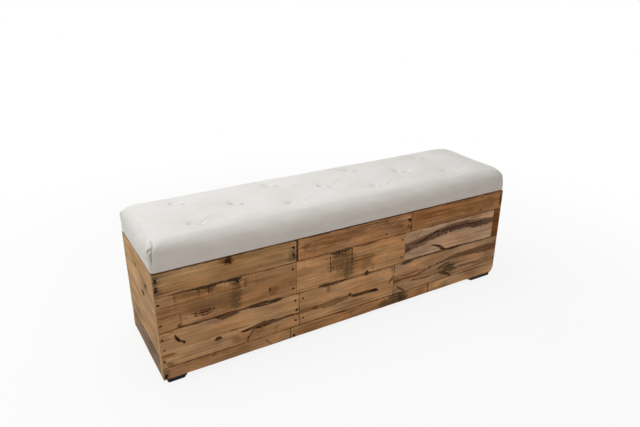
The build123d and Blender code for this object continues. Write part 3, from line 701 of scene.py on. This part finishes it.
# End cladding: three boards an end, cut to fit between the front and back boards and nailed to the posts.
# The same pallet pine; the low left one is grey with weather.
board("left_end_top_board", (197, 165, 124), "yellow_pine", 15, pith=(30, 60), ring=9.0, contrast=0.15,
      saw=0.5, dirt=0.15, filled=("left", "right"),
      knots=((150, 54, 8, 5, 14), (262, 80, 13, 7, 16), (216, 124, 15, 9, 18)),
      tones=((190, 34, 120, 30, (186, 144, 92), 0.5), (230, 100, 40, 40, (150, 112, 74), 0.5)))
board("left_end_middle_board", (186, 153, 116), "yellow_pine", 16, pith=(-20, 60), ring=10.0, contrast=0.15,
      saw=0.5, dirt=0.15, filled=("left", "right"),
      tones=((250, 210, 50, 40, (190, 146, 108), 0.5), (110, 250, 60, 30, (146, 108, 76), 0.5)))
board("left_end_low_board", (146, 124, 103), "grey_pine", 17, pith=(10, 50), contrast=0.45,
      filled=("left", "right"),
      tones=((250, 300, 60, 26, (104, 78, 62), 0.7), (120, 330, 80, 24, (132, 116, 102), 0.6)))
board("right_end_top_board", (188, 144, 96), "yellow_pine", 18, pith=(-30, 60), ring=9.0,
      knots=((120, 70, 10, 8, 14),))
board("right_end_middle_board", (178, 130, 84), "brown_pine", 19, pith=(20, 50), ring=10.0,
      knots=((240, 216, 12, 9, 16),),
      tones=((120, 230, 60, 24, (128, 88, 54), 0.6),))
board("right_end_low_board", (170, 126, 84), "brown_pine", 20, pith=(-10, 40),
      tones=((230, 330, 70, 24, (112, 86, 62), 0.6),))

# Back cladding: two boards a row, butted over the back cleats with staggered joints and nailed there.
# It is the same mixed pallet pine, plainer than the front.
board("back_top_board_1", (182, 136, 90), "brown_pine", 21, pith=(30, 60), ring=10.0,
      knots=((1180, 44, 10, 7, 16),),
      tones=((1040, 30, 30, 20, (84, 68, 56), 0.6), (700, 40, 120, 20, (132, 88, 52), 0.5)))
board("back_top_board_2", (190, 148, 102), "yellow_pine", 22, pith=(-30, 70), ring=9.0,
      knots=((420, 30, 9, 6, 14),),
      tones=((160, 40, 90, 24, (150, 112, 70), 0.5),))
board("back_second_board_1", (178, 132, 88), "brown_pine", 23, pith=(-60, 60), ring=11.0, saw=0.6,
      knots=((820, 130, 11, 8, 18), (1240, 160, 9, 6, 14)),
      tones=((700, 140, 130, 40, (120, 82, 50), 0.6),),
      streaks=((((560, 190, 0), (760, 192, 5), (980, 191, 0)), (46, 30, 20), 0.85),))
board("back_second_board_2", (200, 164, 124), "pale_pine", 24, pith=(10, 46),
      streaks=((((0, 150, 8), (140, 140, 12), (300, 120, 10), (460, 124, 8)), (106, 74, 56), 0.8),
               (((40, 140, 0), (140, 130, 3), (260, 116, 3), (340, 112, 0)), (62, 36, 24), 0.85)))
board("back_third_board_1", (194, 152, 106), "yellow_pine", 25, pith=(14, 50), ring=9.0,
      knots=((1160, 250, 16, 9, 22),),
      streaks=((((920, 262, 0), (1080, 252, 6), (1180, 256, 8), (1400, 250, 8)), (112, 76, 48), 0.75),))
board("back_third_board_2", (182, 138, 94), "brown_pine", 26, pith=(-20, 44), ring=10.0, saw=0.5,
      knots=((260, 270, 10, 8, 18), (640, 236, 12, 8, 18)),
      tones=((470, 300, 80, 16, (100, 76, 54), 0.65),))
board("back_bottom_board_1", (174, 128, 84), "brown_pine", 27, pith=(20, 50), ring=9.0)
board("back_bottom_board_2", (180, 134, 90), "brown_pine", 28, pith=(-24, 50), ring=9.0)

# Cladding nails: flat cut heads of brown iron, punched a hair under the face, none quite square to it.
# They go through the boards into the posts, the cleats and the floor's edge; some are filled over.
HEAD_RADIUS = 2.5
HEAD_POINTS = 10
HEAD_RIM = np.array([0.0, 0.45, 0.8, 1.0, 1.0])
HEAD_RISE = np.array([0.05, 0.0, 0.06, 0.16, 0.75])
HEAD_SET = 0.42
FILLED_SET = 1.6
HEAD_TILT = 0.06


def head_rings(side, along, below, filled, draw):
    """A dished disc as rings of points, tilted a little, with its rim turned back into the wood."""
    turn = np.linspace(0, 2 * np.pi, HEAD_POINTS, endpoint=False)
    x = HEAD_RADIUS * HEAD_RIM[:, None] * np.cos(turn)
    z = HEAD_RADIUS * HEAD_RIM[:, None] * np.sin(turn)
    tilt = draw.uniform(-HEAD_TILT, HEAD_TILT, 2)
    behind = (FILLED_SET if filled else HEAD_SET) + HEAD_RISE[:, None] + tilt[0] * x + tilt[1] * z
    return to_bench(side, along + x, below + z, behind)


draw = np.random.default_rng(5)
heads = np.stack([head_rings(*spot, draw) for spot in nail_heads])
head_index = np.arange(HEAD_RIM.size * HEAD_POINTS).reshape(-1, HEAD_POINTS)
head_quads = ring_quads(head_index)
head_faces = []
for number, (side, *_) in enumerate(nail_heads):
    first = number * head_index.size
    turned = 1 if side in ("front", "right") else -1
    head_faces += (head_quads[:, ::turned] + first).tolist()
    head_faces.append((head_index[-1][::-turned] + first).tolist())
nails = new_piece("nail_heads", heads.reshape(-1, 3), head_faces)
shade_smooth(nails, 50)
iron, shader, place = new_finish("nail_iron")
rust = place.noise((1.6, 1.6, 1.6), 2.0, 4.0)
colour = rust.step(0.35, 0.65).mix(paint(34, 19, 14), paint(70, 36, 20))
shader.inputs["Metallic"].default_value = 0.3
shader.inputs["Specular IOR Level"].default_value = 0.15
feed(shader, colour, 0.5 + 0.35 * rust, rust, 0.0002)
nails.data.materials.append(iron)
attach(nails, "box")
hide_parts("cladding_nails")

# Feet: low oblong blocks of black moulded plastic, each turned a quarter from the next round the box.
# Two recessed zinc screws hold each of them, up through the floor panel into the post.
black_plastic, shader, place = new_finish("foot_plastic")
pebble = place.noise((0.9, 0.9, 0.9), 4.0, 3.0)
scuff = place.noise((14, 14, 3), 9.0, 4.0)
colour = scuff.step(0.55, 0.8).mix(paint(13, 13, 14), paint(36, 35, 34))
shader.inputs["Specular IOR Level"].default_value = 0.15
feed(shader, colour, 0.42 + 0.25 * scuff, pebble, 0.00015)
for corner in CORNERS:
    wear(f"{corner}_foot", black_plastic)

# Hinges, screws and staples: zinc plated pressed steel, a little dull, with a fine rolled grain.
# Three butt hinges are screwed to the top edge of the back boards and up into the lid board.
zinc, shader, place = new_finish("zinc_steel")
spangle = place.noise((3.0, 3.0, 3.0), 3.0, 3.0)
rolled = place.noise((18.0, 0.5, 0.5), 6.0, 2.0)
colour = spangle.step(0.3, 0.7).mix(paint(150, 150, 150), paint(188, 188, 184))
shader.inputs["Metallic"].default_value = 0.9
feed(shader, colour, 0.3 + 0.25 * spangle, rolled * 0.5 + spangle * 0.5, 0.00006)
for hand in ("left", "middle", "right"):
    wear(f"{hand}_hinge_box_leaf", zinc)
    wear(f"{hand}_hinge_lid_leaf", zinc)
for node in ("hinge_pins", "box_hinge_screws", "lid_hinge_screws", "foot_screws", "lid_staples"):
    wear(node, zinc)

# Lid board: a sheet of birch plywood that carries the seat, drilled for the tufting twine.
# The canvas is stapled round its underside, so its bare face shows only when the lid is up.
plywood, shader, place = new_finish("lid_plywood")
flame = place.noise((420, 26, 26), 2.0, 3.0)
fibre = place.noise((50, 1.1, 1.1), 5.0)
ply = (place.parts()[2] * 0.6).math("FRACT").step(0.45, 0.55)
colour = (flame * 7.0).math("FRACT").step(0.2, 0.9).mix(paint(214, 184, 140), paint(203, 169, 122))
colour = (ply * 0.25).mix(colour, paint(150, 112, 74)).scaled(fibre * 0.4 + 0.8)
feed(shader, colour, 0.55 + 0.2 * fibre, fibre, 0.0002)
wear("lid_board", plywood)

# Seat: foam under one piece of off-white cotton canvas, drawn over the lid board and turned under it.
# Twine pulls it down in a diamond of four, three and four tufts; each is a short pinch with a fold
# running from it. The left front corner is pleated, the others are drawn nearly smooth.
SEAT_SHOULDER = 27.0
SEAT_CROWN = 5.0
SEAT_CROWN_RUN = 91.8
SEAT_CORNER = 11.2
cover_low, cover_high = (1000 * np.array(corner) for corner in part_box("seat_cover"))
SEAT_MIDDLE_Y = round((cover_high[1] + cover_low[1]) / 2, 1)
SEAT_HALF_X = round(cover_high[0], 1)
SEAT_HALF_Y = round((cover_high[1] - cover_low[1]) / 2, 1)
SEAT_UNDER = round(cover_low[2], 1)
SEAT_SIDE_TOP = round(cover_high[2] - SEAT_CROWN - SEAT_SHOULDER, 1)
LID_CLEARANCE = 0.05
LID_EDGE = 3.15
LID_UNDER = round(1000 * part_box("lid_board")[0].z - LID_CLEARANCE, 2)
LID_TOP = round(1000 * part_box("lid_board")[1].z + LID_CLEARANCE, 2)
CROWN_RINGS = 32
SHOULDER_RINGS = 13
SIDE_RINGS = 12
CLOTH_PRESSURE = 0.5
CLOTH_FRAMES = 20
CLOTH_GIVE = 5.0
BACK_FULLER = 6.0
LEAN_FRONT = 8.0
LEAN_LEFT = 2.0
LEAN_RIGHT = 3.5
LEAN_FROM = 388.0
FOLD_DEPTH = 17.0
FOLD_RIDGE = 2.5
# Of the two folds at a corner, on the long face and on the end: two levels, and the way in there.
FACE_FOLD = ((424, 462), (8, 17))
END_FOLD = ((411, 450), (30, 15))
OTHER_CORNERS = 0.3
DENT_DEPTH = 1.8
HEM_RISE = 0.8
# Of each tuft: its place along and across the seat, and how strong its fold and the fold's twin are.
TUFTS = (
    (-530, -93, 0.7, 1.0), (-190, -93, 0.6, 0), (150, -93, 1.0, 0), (490, -93, 0.3, 0),
    (-360, 0, 0.3, 0), (-20, 0, 1.0, 0), (320, 0, 0.7, 0),
    (-530, 93, 0.2, 0), (-190, 93, 0.3, 0), (150, 93, 0.3, 0), (490, 93, 0.2, 0),
)
PINCH_TURN = np.radians(28.0)
PINCH_HALF = 19.0
HOLLOW_DEPTH = 6.0
HOLLOW_ENDS = ((-PINCH_HALF, 7.0), (PINCH_HALF, 4.0))
PIT_ENDS = ((-PINCH_HALF, 13.0), (PINCH_HALF, 8.0))
TWIN_GAP = 14.0
# Discs round each tuft and along its fold that get finer faces: ahead, behind, radius.
TUFT_PATCHES = ((2, -3, 38), (42, 6, 28), (72, 22, 27))
# Of each dent in the front: its place along the seat and its height, and its reach both ways.
FRONT_DENTS = (
    (-632, 404, 16, 9), (-556, 408, 10, 7), (-130, 420, 12, 9), (214, 410, 22, 10), (452, 402, 15, 8),
)


def seat_profile():
    """Inset, height and corner radius of each ring, from the crown line out, down and back under.

    The crown falls as a parabola to the shoulder, the shoulder is a quarter circle, the side bulges by a
    sine, the cloth turns under the lid board, and the foam's flat bottom closes the form.
    """
    crown_inset = np.linspace(SEAT_HALF_Y, SEAT_SHOULDER, CROWN_RINGS, endpoint=False)
    share = np.clip((crown_inset - SEAT_SHOULDER) / SEAT_CROWN_RUN, 0, 1)
    crown_level = SEAT_SIDE_TOP + SEAT_SHOULDER + SEAT_CROWN * share * (2 - share)
    flat_half = SEAT_HALF_Y - SEAT_SHOULDER
    crown_corner = (SEAT_CORNER + SEAT_SHOULDER) * (SEAT_HALF_Y - crown_inset) / flat_half
    crown = np.stack([crown_inset, crown_level, crown_corner])
    turn = np.radians(np.linspace(90, 0, SHOULDER_RINGS))
    shoulder = np.stack([SEAT_SHOULDER * (1 - np.cos(turn)), SEAT_SIDE_TOP + SEAT_SHOULDER * np.sin(turn),
                         SEAT_CORNER + SEAT_SHOULDER * np.sin(turn)])
    level = np.linspace(SEAT_SIDE_TOP, SEAT_UNDER + 5, SIDE_RINGS + 1)[1:]
    share = np.clip((level - LID_TOP) / (SEAT_SIDE_TOP - LID_TOP), 0, 1)
    side = np.stack([2 * (1 - np.sin(np.pi / 2 * share)), level, SEAT_CORNER + 0 * level])
    turn = np.radians([22, 45, 68, 90])
    tuck = np.stack([7 - 5 * np.cos(turn), SEAT_UNDER + 5 - 5 * np.sin(turn), 9 + 0 * turn])
    under = np.array([
        [14, SEAT_UNDER, 8], [22, SEAT_UNDER, 8], [30, SEAT_UNDER, 8], [34, SEAT_UNDER + 0.2, 8],
        [34.4, LID_UNDER - 0.2, 8], [33.5, LID_UNDER, 8], [LID_EDGE, LID_UNDER, 8], [LID_EDGE, LID_TOP, 8],
        [40, LID_TOP, 8], [90, LID_TOP, 8], [140, LID_TOP, 8], [SEAT_HALF_Y, LID_TOP, 0],
    ]).T
    return np.concatenate([crown, shoulder, side, tuck, under], axis=1)


def outline_walk():
    """Walk round a rectangle with round corners: the share of its half sides, and the outward angle."""
    finer = np.linspace(650, 690, 30)
    long = np.concatenate([-finer[::-1], np.linspace(-645, 645, 259), finer]) / 690
    finer = np.linspace(132, 168, 28)
    short = np.concatenate([-finer[::-1], np.linspace(-127.5, 127.5, 53), finer]) / 168
    bend = np.linspace(0, 90, 9)[1:-1]
    one_long, one_short, one_bend = np.ones_like(long), np.ones_like(short), np.ones_like(bend)
    x = np.concatenate([long, one_bend, one_short, one_bend, -long, -one_bend, -one_short, -one_bend])
    y = np.concatenate([-one_long, -one_bend, short, one_bend, one_long, one_bend, -short, -one_bend])
    angle = np.concatenate([-90 * one_long, bend - 90, 0 * one_short, bend, 90 * one_long, bend + 90,
                            180 * one_short, bend + 180])
    return x, y, np.radians(angle)


def tuft_axes(x, y, tuft_x, tuft_y):
    """Distance from a tuft along its pinch and across it."""
    across, back = x - tuft_x, y - tuft_y - SEAT_MIDDLE_Y
    return (across * np.cos(PINCH_TURN) - back * np.sin(PINCH_TURN),
            across * np.sin(PINCH_TURN) + back * np.cos(PINCH_TURN))


def tuft_hollow(x, y):
    """How far the foam gives round the tufts: a soft hollow, deepest at the two ends of each pinch."""
    drop = 0 * x
    for tuft_x, tuft_y, *_ in TUFTS:
        s, t = tuft_axes(x, y, tuft_x, tuft_y)
        drop = drop + HOLLOW_DEPTH * np.exp(-(s / 40) ** 2 - ((t - 4) / 30) ** 2)
        for end, pull in HOLLOW_ENDS:
            drop = drop + pull * np.exp(-(np.hypot(s - end, t) / 13) ** 2)
    return drop


def tuft_pinch(x, y):
    """The tight part of a tuft: a pit at both ends of the pinch, a crease that sags between them, a lip
    behind it, and one or two folds that leave the right pit along the other diagonal of the diamond."""
    drop = 0 * x
    for tuft_x, tuft_y, fold, twin in TUFTS:
        s, t = tuft_axes(x, y, tuft_x, tuft_y)
        for end, pull in PIT_ENDS:
            drop = drop + pull * np.exp(-(np.hypot((s - end) / 6.0, t / 4.6)) ** 1.5)
        sag = t + 7 * (1 - (s / PINCH_HALF) ** 2)
        between = np.clip((24 - np.abs(s)) / 8, 0, 1)
        drop = drop + between * (1.8 * np.exp(-(sag / 2.6) ** 2) - 1.6 * np.exp(-((sag - 7) / 4.5) ** 2))
        across, back = x - tuft_x, y - tuft_y - SEAT_MIDDLE_Y
        along = across * np.cos(PINCH_TURN) + back * np.sin(PINCH_TURN) - 14
        aside = -across * np.sin(PINCH_TURN) + back * np.cos(PINCH_TURN) + 15
        reach = np.clip(along / 16, 0, 1) * np.clip((76 - along) / 40, 0, 1)
        bow = aside - 0.0012 * (along - 30) ** 2
        for line, strength in ((bow, fold), (bow - TWIN_GAP, twin)):
            groove = 2.1 * np.exp(-(line / 1.7) ** 2) - 0.9 * np.exp(-((line - 4.5) / 3) ** 2)
            drop = drop + strength * reach * groove
    return drop


def settled(points, held):
    """Cloth over the foam, blown up by an even pressure and held at the tufts and the turned-under edge.

    Every second ring and station goes through the simulation; how far each has moved, at most CLOTH_GIVE,
    is then spread evenly over the points between.
    """
    coarse, pins = points[::2, ::2], held[::2, ::2]
    rows, around = coarse.shape[:2]
    spots, place = np.unique(np.round(coarse.reshape(-1, 3), 3), axis=0, return_inverse=True)
    index = place.reshape(rows, around)
    cloth = new_piece("seat_cloth", spots, ring_quads(index)[:, ::-1].tolist())
    cloth.data.validate()
    pinned = np.zeros(len(spots), bool)
    np.logical_or.at(pinned, place.ravel(), pins.ravel())
    cloth.vertex_groups.new(name="held").add(np.flatnonzero(pinned).tolist(), 1.0, "REPLACE")
    settings = cloth.modifiers.new("cloth", "CLOTH").settings
    settings.vertex_group_mass = "held"
    settings.use_pressure = True
    settings.uniform_pressure_force = CLOTH_PRESSURE
    settings.effector_weights.gravity = 0
    for frame_number in range(1, CLOTH_FRAMES + 1):
        bpy.context.scene.frame_set(frame_number)
    done = cloth.evaluated_get(bpy.context.evaluated_depsgraph_get()).data
    after = np.zeros(3 * len(spots), np.float32)
    done.vertices.foreach_get("co", after)
    move = 1000 * after.reshape(-1, 3) - spots
    bpy.context.scene.frame_set(1)
    bpy.data.objects.remove(cloth)
    length = np.linalg.norm(move, axis=1, keepdims=True)
    move = move * np.minimum(1, CLOTH_GIVE / np.maximum(length, 1e-6))
    move = move[place.ravel()].reshape(rows, around, 3)
    wide = np.repeat(move, 2, axis=1)
    wide[:, 1::2] = (move + np.roll(move, -1, axis=1)) / 2
    spread = np.repeat(wide, 2, axis=0)[:-1]
    spread[1::2] = (wide[:-1] + wide[1:]) / 2
    return points + spread


# The form before the cloth settles: crown, hollows and the lean of its sides.
inset, level, radius = (row[:, None] for row in seat_profile())
share_x, share_y, facing = outline_walk()
x = share_x * (SEAT_HALF_X - inset - radius) + radius * np.cos(facing)
y = share_y * (SEAT_HALF_Y - inset - radius) + radius * np.sin(facing)
z = level + 0 * x
ring = np.arange(len(inset))[:, None]
side_ring = CROWN_RINGS + SHOULDER_RINGS - 1
hem_ring = side_ring + SIDE_RINGS
on_top = ring <= side_ring
on_side = (ring > CROWN_RINGS) & (ring <= hem_ring)
edge_x, edge_y = x[side_ring], y[side_ring]
walk = np.hypot(np.diff(edge_x, append=edge_x[:1]), np.diff(edge_y, append=edge_y[:1]))
walk = np.concatenate([[0], np.cumsum(walk)[:-1]])
z = z - on_top * tuft_hollow(x, y + SEAT_MIDDLE_Y)
z = z + on_top * 0.9 * wander(x + 0.4 * y, 41, 170) * np.clip(inset / 40, 0, 1)
fuller = np.clip(y / 140 + 0.35, 0, 1) * np.clip((x + 640) / 360, 0.25, 1)
z = z + BACK_FULLER * fuller * rising(z, 410, 460) * (ring <= hem_ring)
rise = (np.clip((level - LEAN_FROM) / (SEAT_SIDE_TOP - LEAN_FROM), 0, 1.55) * (ring <= hem_ring)) ** 1.5
lean_x = np.where(share_x > 0, LEAN_RIGHT, LEAN_LEFT) * np.clip(np.abs(share_x) * 4 - 3, 0, 1)
lean_y = np.where(share_y > 0, 0.0, LEAN_FRONT)
x = x - rise * lean_x * share_x
y = y - rise * lean_y * share_y * np.clip(2 - inset / 60, 0, 1)

# The cloth is held at its turned-under edge and at the ends of each pinch.
held = (ring > hem_ring - 2) | np.zeros(x.shape, bool)
for tuft_x, tuft_y, *_ in TUFTS:
    s, t = tuft_axes(x, y + SEAT_MIDDLE_Y, tuft_x, tuft_y)
    held |= on_top & (np.abs(t) < 8) & (np.abs(np.abs(s) - PINCH_HALF) < 8)
points = np.stack([x, y, z], axis=-1)
points = settled(points, held)
x, y, z = (points[..., axis] for axis in range(3))

# Slack in the sides, folds at the corners, dents in the front and an uneven hem.
upright = on_side * rising(level, 386, 400) * rising(level, 469, 449)
slack = 1.4 * wander(walk[None, :] + 1.2 * level, 42, 190) + 0.5 * wander(walk[None, :], 44, 34) - 0.8
depth = on_side * np.where((x < 0) & (y < 0), 1.0, OTHER_CORNERS)
face_fold = SEAT_HALF_X - np.abs(x) - np.interp(level, *FACE_FOLD)
end_fold = SEAT_HALF_Y - np.abs(y) - np.interp(level, *END_FOLD)
face_reach = depth * (np.abs(np.sin(facing)) > 0.35) * rising(level, 410, 418) * rising(level, 466, 456)
end_reach = depth * (np.abs(np.cos(facing)) > 0.7) * rising(level, 388, 396) * rising(level, 456, 446)
push = upright * slack
push = push - face_reach * FOLD_DEPTH * np.exp(-(face_fold / 2.3) ** 2)
push = push - end_reach * FOLD_DEPTH * np.exp(-(end_fold / 2.6) ** 2)
push = push + end_reach * FOLD_RIDGE * rising(face_fold, 0, -4) * rising(end_fold, 0, -6)
for dent_x, dent_z, reach_x, reach_z in FRONT_DENTS:
    dent = np.exp(-((x - dent_x) / reach_x) ** 2 - ((level - dent_z) / reach_z) ** 2)
    push = push - on_side * (share_y < -0.99) * DENT_DEPTH * dent
hem = (ring >= hem_ring - 4) & (ring <= hem_ring + 3)
z = z + hem * HEM_RISE * (1 + wander(walk, 43, 140))[None, :]
x = x + push * np.cos(facing)
y = y + push * np.sin(facing) + SEAT_MIDDLE_Y
seat = grid_piece("canvas_seat", np.stack([x, y, z], axis=-1))

# The weave follows the cloth laid flat: the crown as seen from above, then the run down the side.
run = np.concatenate([[0], np.cumsum(np.hypot(np.diff(inset[:, 0]), np.diff(level[:, 0])))])
beyond = np.clip(run - run[CROWN_RINGS], 0, None)[:, None]
flat_x = np.where(ring <= CROWN_RINGS, x, x[CROWN_RINGS] + beyond * np.cos(facing))
flat_y = np.where(ring <= CROWN_RINGS, y, y[CROWN_RINGS] + beyond * np.sin(facing))
corner_of_loop = np.zeros(len(seat.data.loops), dtype=np.int32)
seat.data.loops.foreach_get("vertex_index", corner_of_loop)
flat = np.stack([flat_x.ravel(), flat_y.ravel()], axis=-1)[corner_of_loop] / 1000
seat.data.uv_layers.new(name="cloth").data.foreach_set("uv", flat.ravel())

# The seam of the grid is welded, and finer faces round the tufts take the pinches and their folds.
weld = bmesh.new()
weld.from_mesh(seat.data)
bmesh.ops.remove_doubles(weld, verts=weld.verts, dist=0.00001)
weld.to_mesh(seat.data)
middles = np.zeros(3 * len(seat.data.polygons), np.float32)
seat.data.polygons.foreach_get("center", middles)
middles = middles.reshape(-1, 3).astype(float) * 1000
near = np.zeros(len(middles), bool)
for tuft_x, tuft_y, fold, _ in TUFTS:
    for ahead, behind, reach in TUFT_PATCHES:
        away = np.hypot(middles[:, 0] - tuft_x - ahead, middles[:, 1] - tuft_y - behind)
        near |= away < reach * min(1, 0.4 + 2 * fold)
near &= middles[:, 2] > 445
near_edges = [edge for face, is_near in zip(weld.faces, near) if is_near for edge in face.edges]
bmesh.ops.subdivide_edges(weld, edges=list(dict.fromkeys(near_edges)), cuts=2, use_grid_fill=True)
weld.to_mesh(seat.data)
weld.free()
spots = np.zeros(3 * len(seat.data.vertices), np.float32)
seat.data.vertices.foreach_get("co", spots)
spots = spots.reshape(-1, 3)
upper = np.clip((spots[:, 2] - 0.44) / 0.01, 0, 1)
spots[:, 2] -= upper * tuft_pinch(1000 * spots[:, 0], 1000 * spots[:, 1]) / 1000
seat.data.vertices.foreach_set("co", spots.ravel())
shade_smooth(seat)

# Plain weave with uneven threads and a little soil, and painted warm shade on the front side of the seat.
THREAD = 1.1
canvas, shader, place = new_finish("canvas")
cloth = source(canvas.node_tree, "ShaderNodeTexCoord", "UV").scaled(1000.0)
u, v, _ = cloth.parts()
over = (u * (2 * np.pi / THREAD)).math("SINE") * (v * (2 * np.pi / THREAD)).math("SINE")
warp_slub = cloth.noise((70, 0.8, 1), 1.0)
weft_slub = cloth.noise((0.8, 55, 1), 2.0)
rumple = cloth.noise((34, 26, 30), 3.0, 3.0)
soil = place.noise((130, 130, 60), 4.0, 4.0)
slub = warp_slub * 0.5 + weft_slub * 0.5
colour = soil.step(0.35, 0.75).mix(paint(229, 227, 224), paint(223, 220, 216))
colour = colour.scaled(slub * 0.16 + 0.92)
colour = colour.scaled(over * 0.02 + 1.0)
# Painted shade: the front side below the shoulder is made darker and warmer than the top.
front_side_shade = place.parts()[1].step(-140.0, -172.0) * place.parts()[2].step(462.0, 430.0)
colour = front_side_shade.mix(colour, (1.0, 0.966, 0.935, 1), "MULTIPLY")
shader.inputs["Sheen Weight"].default_value = 0.15
shader.inputs["Sheen Roughness"].default_value = 0.5
feed(shader, colour, 0.86 + 0.1 * slub, over * 0.12 + slub * 0.35 + rumple * 2.2, 0.0006)
seat.data.materials.append(canvas)
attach(seat, "lid")
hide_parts("seat_foam", "seat_cover")

# Tufting twine and lid pads: waxed cotton cord, stapled under the lid board beside each hole,
# and black rubber buttons along the board's front edge, on which the shut lid rests.
twine, shader, place = new_finish("tuft_twine")
ply = (place.parts()[0] * 2.2 + place.parts()[2] * 2.2).math("SINE") * 0.5 + 0.5
fuzz = place.noise((1.5, 0.5, 0.5), 3.0)
colour = ply.mix(paint(176, 152, 116), paint(214, 196, 162))
feed(shader, colour, 0.7 + 0.2 * fuzz, ply + fuzz * 0.3, 0.0004)
wear("tuft_twine", twine)
rubber, shader, place = new_finish("pad_rubber")
dust = place.noise((2.5, 2.5, 2.5), 8.0, 4.0)
colour = dust.step(0.45, 0.8).mix(paint(24, 24, 25), paint(62, 60, 58))
feed(shader, colour, 0.65 + 0.25 * dust, dust, 0.0002)
wear("lid_pads", rubber)

# Camera at the photograph's angle: left of the bench, above it, looking down at the front.
# Its place, angles and lens come from a fit to the corners of the box.
CAMERA_AZIMUTH = -30.835
CAMERA_ELEVATION = 22.441
CAMERA_ROLL = 0.317
CAMERA_PLACE = (-0.9986, -1.6018, 1.1370)
CAMERA_LENS = 31.378


def camera_axes(azimuth, elevation, roll):
    """Right, up and backward unit vectors of a camera that looks down at the given angles."""
    a, e, r = np.radians([azimuth, elevation, roll])
    back = np.array([np.sin(a) * np.cos(e), -np.cos(a) * np.cos(e), np.sin(e)])
    right = np.cross(-back, [0, 0, 1])
    right /= np.linalg.norm(right)
    up = np.cross(right, -back)
    return np.cos(r) * right + np.sin(r) * up, np.cos(r) * up - np.sin(r) * right, back


def stand(item, axes, place):
    """Puts a camera or lamp at a place, with the given right, up and backward axes."""
    turn = np.eye(4)
    turn[:3, :3] = np.column_stack(axes)
    turn[:3, 3] = place
    item.matrix_world = Matrix(turn.tolist())


camera = in_scene("camera", bpy.data.cameras.new("camera"))
stand(camera, camera_axes(CAMERA_AZIMUTH, CAMERA_ELEVATION, CAMERA_ROLL), CAMERA_PLACE)
camera.data.lens = CAMERA_LENS
camera.data.sensor_width = 36
bpy.context.scene.camera = camera
bpy.context.scene.view_settings.view_transform = "Standard"

# Studio: a white room and a pale floor that keeps the shadow.
# One broad lamp hangs above, one stands at the left and a warm one in front.
FLOOR_REACH = 9000.0
FLOOR_FADE = (0.7, 2.2)


def seen_directly(tree):
    """1 for rays from the camera, or by way of metal or glass, and 0 for those that only carry light."""
    ray = source(tree, "ShaderNodeLightPath", "Is Camera Ray")
    return ray.math("MAXIMUM", ray.other("Is Glossy Ray")).math("MAXIMUM", ray.other("Is Transmission Ray"))


world = bpy.data.worlds.new("studio")
bpy.context.scene.world = world
world.use_nodes = True
tree = world.node_tree
seen = seen_directly(tree)
room_light = tree.nodes["Background"]
tree.links.new(seen.mix((1.0, 0.955, 0.905, 1), (1, 1, 1, 1)).socket, room_light.inputs["Color"])
tree.links.new((seen * 0.70 + 0.30).socket, room_light.inputs["Strength"])


def lamp(name, place, aim, size, power, colour=(1, 1, 1)):
    """Square area lamp at a place, turned to face a point."""
    data = bpy.data.lights.new(name, "AREA")
    data.size = size
    data.energy = power
    data.color = colour
    back = np.array(place) - np.array(aim)
    back /= np.linalg.norm(back)
    right = np.cross([0, 1, 0.01], back)
    right /= np.linalg.norm(right)
    stand(in_scene(name, data), (right, np.cross(back, right), back), place)


lamp("overhead_lamp", (-0.45, 0.35, 2.6), (-0.1, 0.05, 0.4), 2.2, 42, (0.985, 1.0, 1.015))
lamp("left_lamp", (-3.0, 0.5, 1.3), (-0.7, 0.0, 0.3), 1.4, 15)
lamp("front_lamp", (-0.6, -3.6, 1.2), (0.0, -0.18, 0.3), 2.0, 9.5, (1.0, 0.86, 0.72))

floor_corners = FLOOR_REACH * np.array([(-1, -1, 0), (1, -1, 0), (1, 1, 0), (-1, 1, 0)])
floor = new_piece("floor", floor_corners, [(0, 1, 2, 3)])
pale_floor = bpy.data.materials.new("pale_floor")
pale_floor.use_nodes = True
tree = pale_floor.node_tree
seen = seen_directly(tree)
shader = tree.nodes["Principled BSDF"]
shader.inputs["Base Color"].default_value = (0.82, 0.82, 0.82, 1)
shader.inputs["Roughness"].default_value = 0.9
ground = source(tree, "ShaderNodeTexCoord", "Object")
away = ground.node("ShaderNodeVectorMath", {"operation": "LENGTH"}, {0: ground}, "Value")
glow = seen.node("ShaderNodeEmission", {}, {"Color": (1, 1, 1, 1), "Strength": 1.0})
share = seen * (away.step(*FLOOR_FADE) * 0.13 + 0.87)
blend = seen.node("ShaderNodeMixShader", {}, {0: share, 1: Wire(tree, shader.outputs[0]), 2: glow})
tree.links.new(blend.socket, tree.nodes["Material Output"].inputs["Surface"])
floor.data.materials.append(pale_floor)
